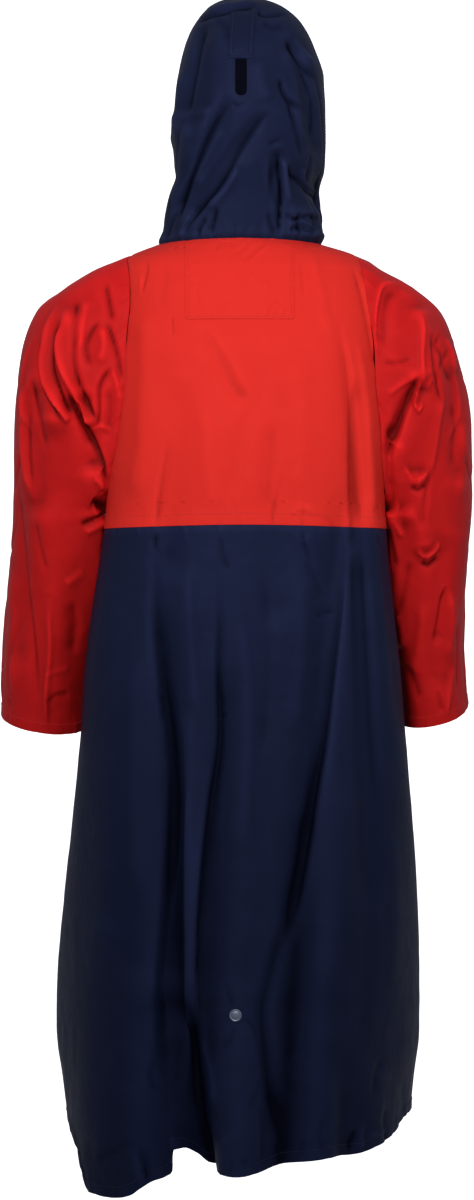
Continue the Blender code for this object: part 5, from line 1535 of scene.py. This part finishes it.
def frame_of_stitches(point, facing, inset):
    """Four lines of stitches at an inset from the borders of a grid of cloth."""
    runs = []
    for axis in (0, 1):
        for end in ("first", "last"):
            line, up = line_at(point, facing, axis, end, inset)
            step = np.linalg.norm(np.diff(line, axis=0), axis=1)
            travelled = np.concatenate([[0.0], np.cumsum(step)])
            kept = (travelled >= inset * 0.9) & (travelled <= travelled[-1] - inset * 0.9)
            runs.append((line[kept], up[kept]))
    return runs


def laid_on_hood(x, z):
    """Points of the hood's back behind a grid of places, and the way out from them."""
    turn, along = on_hood(x, z)
    return hood(turn, along), -tube_normals(hood, turn, along)


def make_tab():
    base, normal = laid_on_hood(*rounded(*laid_grid(TAB, 48, 28), 0.002, "all"))
    lift = hood_lift(base, normal)
    top, bottom, left, right = borders(base)
    edge = np.minimum(np.minimum(left, right), np.minimum(top, bottom))
    lift = lift + 0.0013 + 0.0007 * smooth(edge / 0.0016)
    lift = lift - 0.0006 * np.exp(-((edge - 0.0034) / 0.0011) ** 2)
    lift = lift + 0.0007 * smooth((edge - 0.004) / 0.006)
    down = run_along(base, 0)
    lift = lift + puckers(down, left, 0.009, 0.0003, 0.0018, 95, 0.006)
    lift = lift + puckers(down, right, 0.009, 0.0003, 0.0018, 96, 0.006)
    point = base + normal * lift[..., None]
    piece = dress(cloth("hood_tab_cloth", point, thick=0.0007), NAVY,
                  ["hood_tab"])
    facing = outward_normals(point)
    navy_runs.extend(frame_of_stitches(point, facing, TAB_STITCHES))
    return piece


def make_strip():
    base, normal = laid_on_hood(*rounded(*laid_grid(STRIP, 48, 16), 0.0058, "bottom"))
    lift = hood_lift(base, normal)
    edge = np.minimum(border_distance(base, 1, "first"), border_distance(base, 1, "last"))
    lift = lift + 0.0012 + 0.0006 * smooth(edge / 0.0012)
    point = base + normal * lift[..., None]
    piece = dress(cloth("hood_strip_cloth", point, thick=0.0007), BLACK,
                  ["hood_strip"])
    return piece


def make_button():
    """A bare domed cap with a rolled rim; the sizes are radius and height, in mm."""
    profile = ((0.0, 3.05), (1.2, 3.05), (2.6, 2.95), (4.0, 2.70), (4.9, 2.45), (5.3, 2.40),
               (5.7, 2.55), (6.3, 2.75), (6.8, 2.60), (7.1, 2.10), (7.1, 1.50), (6.8, 1.00),
               (6.0, 0.80), (3.0, 0.80), (0.0, 0.80))
    x = np.array(BUTTON_PLACE[0])
    z = np.array(BUTTON_PLACE[1])
    angle = on_body(x, z)
    normal = body_normals(angle, z)
    out = unit(normal * np.array([1.0, 1.0, 0.4]))
    centre = body(angle, z) - out * 0.0005
    right = unit(np.cross(np.array([0.0, 0.0, 1.0]), out))
    up = np.cross(out, right)
    turns = np.linspace(0.0, 2 * math.pi, BUTTON_SIDES + 1)[:-1]
    points = []
    for radius, height in profile:
        for t in turns:
            points.append(centre + 0.001 * (radius * (right * math.cos(t) + up * math.sin(t))
                                            + height * out))
    faces = []
    for k in range(len(profile) - 1):
        for t in range(BUTTON_SIDES):
            nxt = (t + 1) % BUTTON_SIDES
            low = k * BUTTON_SIDES
            high = low + BUTTON_SIDES
            faces.append([low + t, high + t, high + nxt, low + nxt])
    mesh = bpy.data.meshes.new("snap_button_cap")
    mesh.from_pydata([list(p) for p in points], [], faces)
    work = bmesh.new()
    work.from_mesh(mesh)
    bmesh.ops.remove_doubles(work, verts=work.verts, dist=1e-6)
    bmesh.ops.recalc_face_normals(work, faces=work.faces)
    work.to_mesh(mesh)
    work.free()
    mesh.shade_smooth()
    mesh.set_sharp_from_angle(angle=math.radians(50.0))
    return dress(placed("snap_button_cap", mesh), STEEL, ["snap_button"])


make_yoke("back_yoke", "back", 200, 118)
make_yoke("front_yoke", "front", 120, 70)
make_skirt("back_skirt", "back", 270, 170)
make_skirt("front_skirt", "front", 170, 110)
make_sleeve("sleeve_left", SLEEVE_LEFT, SLEEVE_LEFT_FOLDS, 1.0, LEFT_CREASES)
make_sleeve("sleeve_right", SLEEVE_RIGHT, SLEEVE_RIGHT_FOLDS, -1.0, RIGHT_CREASES)
make_hood_piece("hood", 0.001, CROWN_SEAM - 0.0006, 130, 180)
make_hood_piece("hood_brim", CROWN_SEAM + 0.0006, 1.0, 40, 180)
make_patch()
make_tab()
make_strip()
make_button()

dress(stitches("red_stitches", red_runs), RED_THREAD)
dress(stitches("navy_stitches", navy_runs), NAVY_THREAD)


# ------------------------------------------------------------------- stage, lights, camera
def plain_material(name, glow):
    made, _, shader = new_material(name)
    shader.inputs["Base Color"].default_value = (0.82, 0.82, 0.82, 1.0)
    shader.inputs["Roughness"].default_value = 0.9
    shader.inputs["Specular IOR Level"].default_value = 0.1
    shader.inputs["Emission Color"].default_value = (1.0, 1.0, 1.0, 1.0)
    shader.inputs["Emission Strength"].default_value = glow
    return made


def make_stage():
    """A pale floor, and a narrow white strip of it that runs far back and up behind."""
    ground = -1.48
    turns = np.linspace(0.0, math.pi / 2, 9)
    curve = [(-12.5 - math.sin(t), ground + 1.002 - math.cos(t), 3.8) for t in turns]
    profiles = {
        "floor": [(16.0, ground, 32.0), (-16.0, ground, 32.0)],
        "backdrop": [(-1.6, ground + 0.002, 1.3), *curve, (-13.5, 4.0, 3.8)],
    }
    glows = {"floor": 0.0, "backdrop": 1.0}
    for name, profile in profiles.items():
        points = []
        for y, z, width in profile:
            points += [(-width / 2, y, z), (width / 2, y, z)]
        faces = [[2 * k, 2 * k + 1, 2 * k + 3, 2 * k + 2] for k in range(len(profile) - 1)]
        mesh = bpy.data.meshes.new(name)
        mesh.from_pydata(points, [], faces)
        mesh.materials.append(plain_material(name + "_paint", glows[name]))
        placed(name, mesh)


def area_light(name, place, aim, size, power, spread):
    data = bpy.data.lights.new(name, "AREA")
    data.shape = "DISK"
    data.size = size
    data.energy = power
    data.spread = math.radians(spread)
    made = placed(name, data)
    made.location = place
    way = np.array(aim) - np.array(place)
    flat = math.hypot(way[0], way[1])
    made.rotation_euler = (math.atan2(flat, -way[2]), 0.0, math.atan2(-way[0], way[1]))


make_stage()
area_light("key", (0.40, 2.3, 0.55), (0.0, 0.1, 0.02), 0.6, 4.4, 54.0)
area_light("fill", (-1.3, 2.0, 0.3), (-0.1, 0.1, -0.1), 0.8, 1.4, 54.0)

world = bpy.data.worlds.new("studio")
world.use_nodes = True
world.node_tree.nodes["Background"].inputs["Color"].default_value = (0.92, 0.97, 1.10, 1.0)
world.node_tree.nodes["Background"].inputs["Strength"].default_value = 0.34
bpy.context.scene.world = world
bpy.context.scene.view_settings.view_transform = "Standard"

camera_data = bpy.data.cameras.new("camera")
camera_data.sensor_fit = "VERTICAL"
camera_data.sensor_height = 36.0
camera_data.lens = 36.0 * CAMERA[1] / (PICTURE[1] * PIXEL)
camera_data.clip_end = 30.0
camera = placed("camera", camera_data)
camera.location = CAMERA
drop = math.atan((PICTURE[1] / 2 - MIDDLE[1]) * PIXEL / CAMERA[1])
camera.rotation_euler = (math.pi / 2 - drop, 0.0, math.pi)
bpy.context.scene.camera = camera
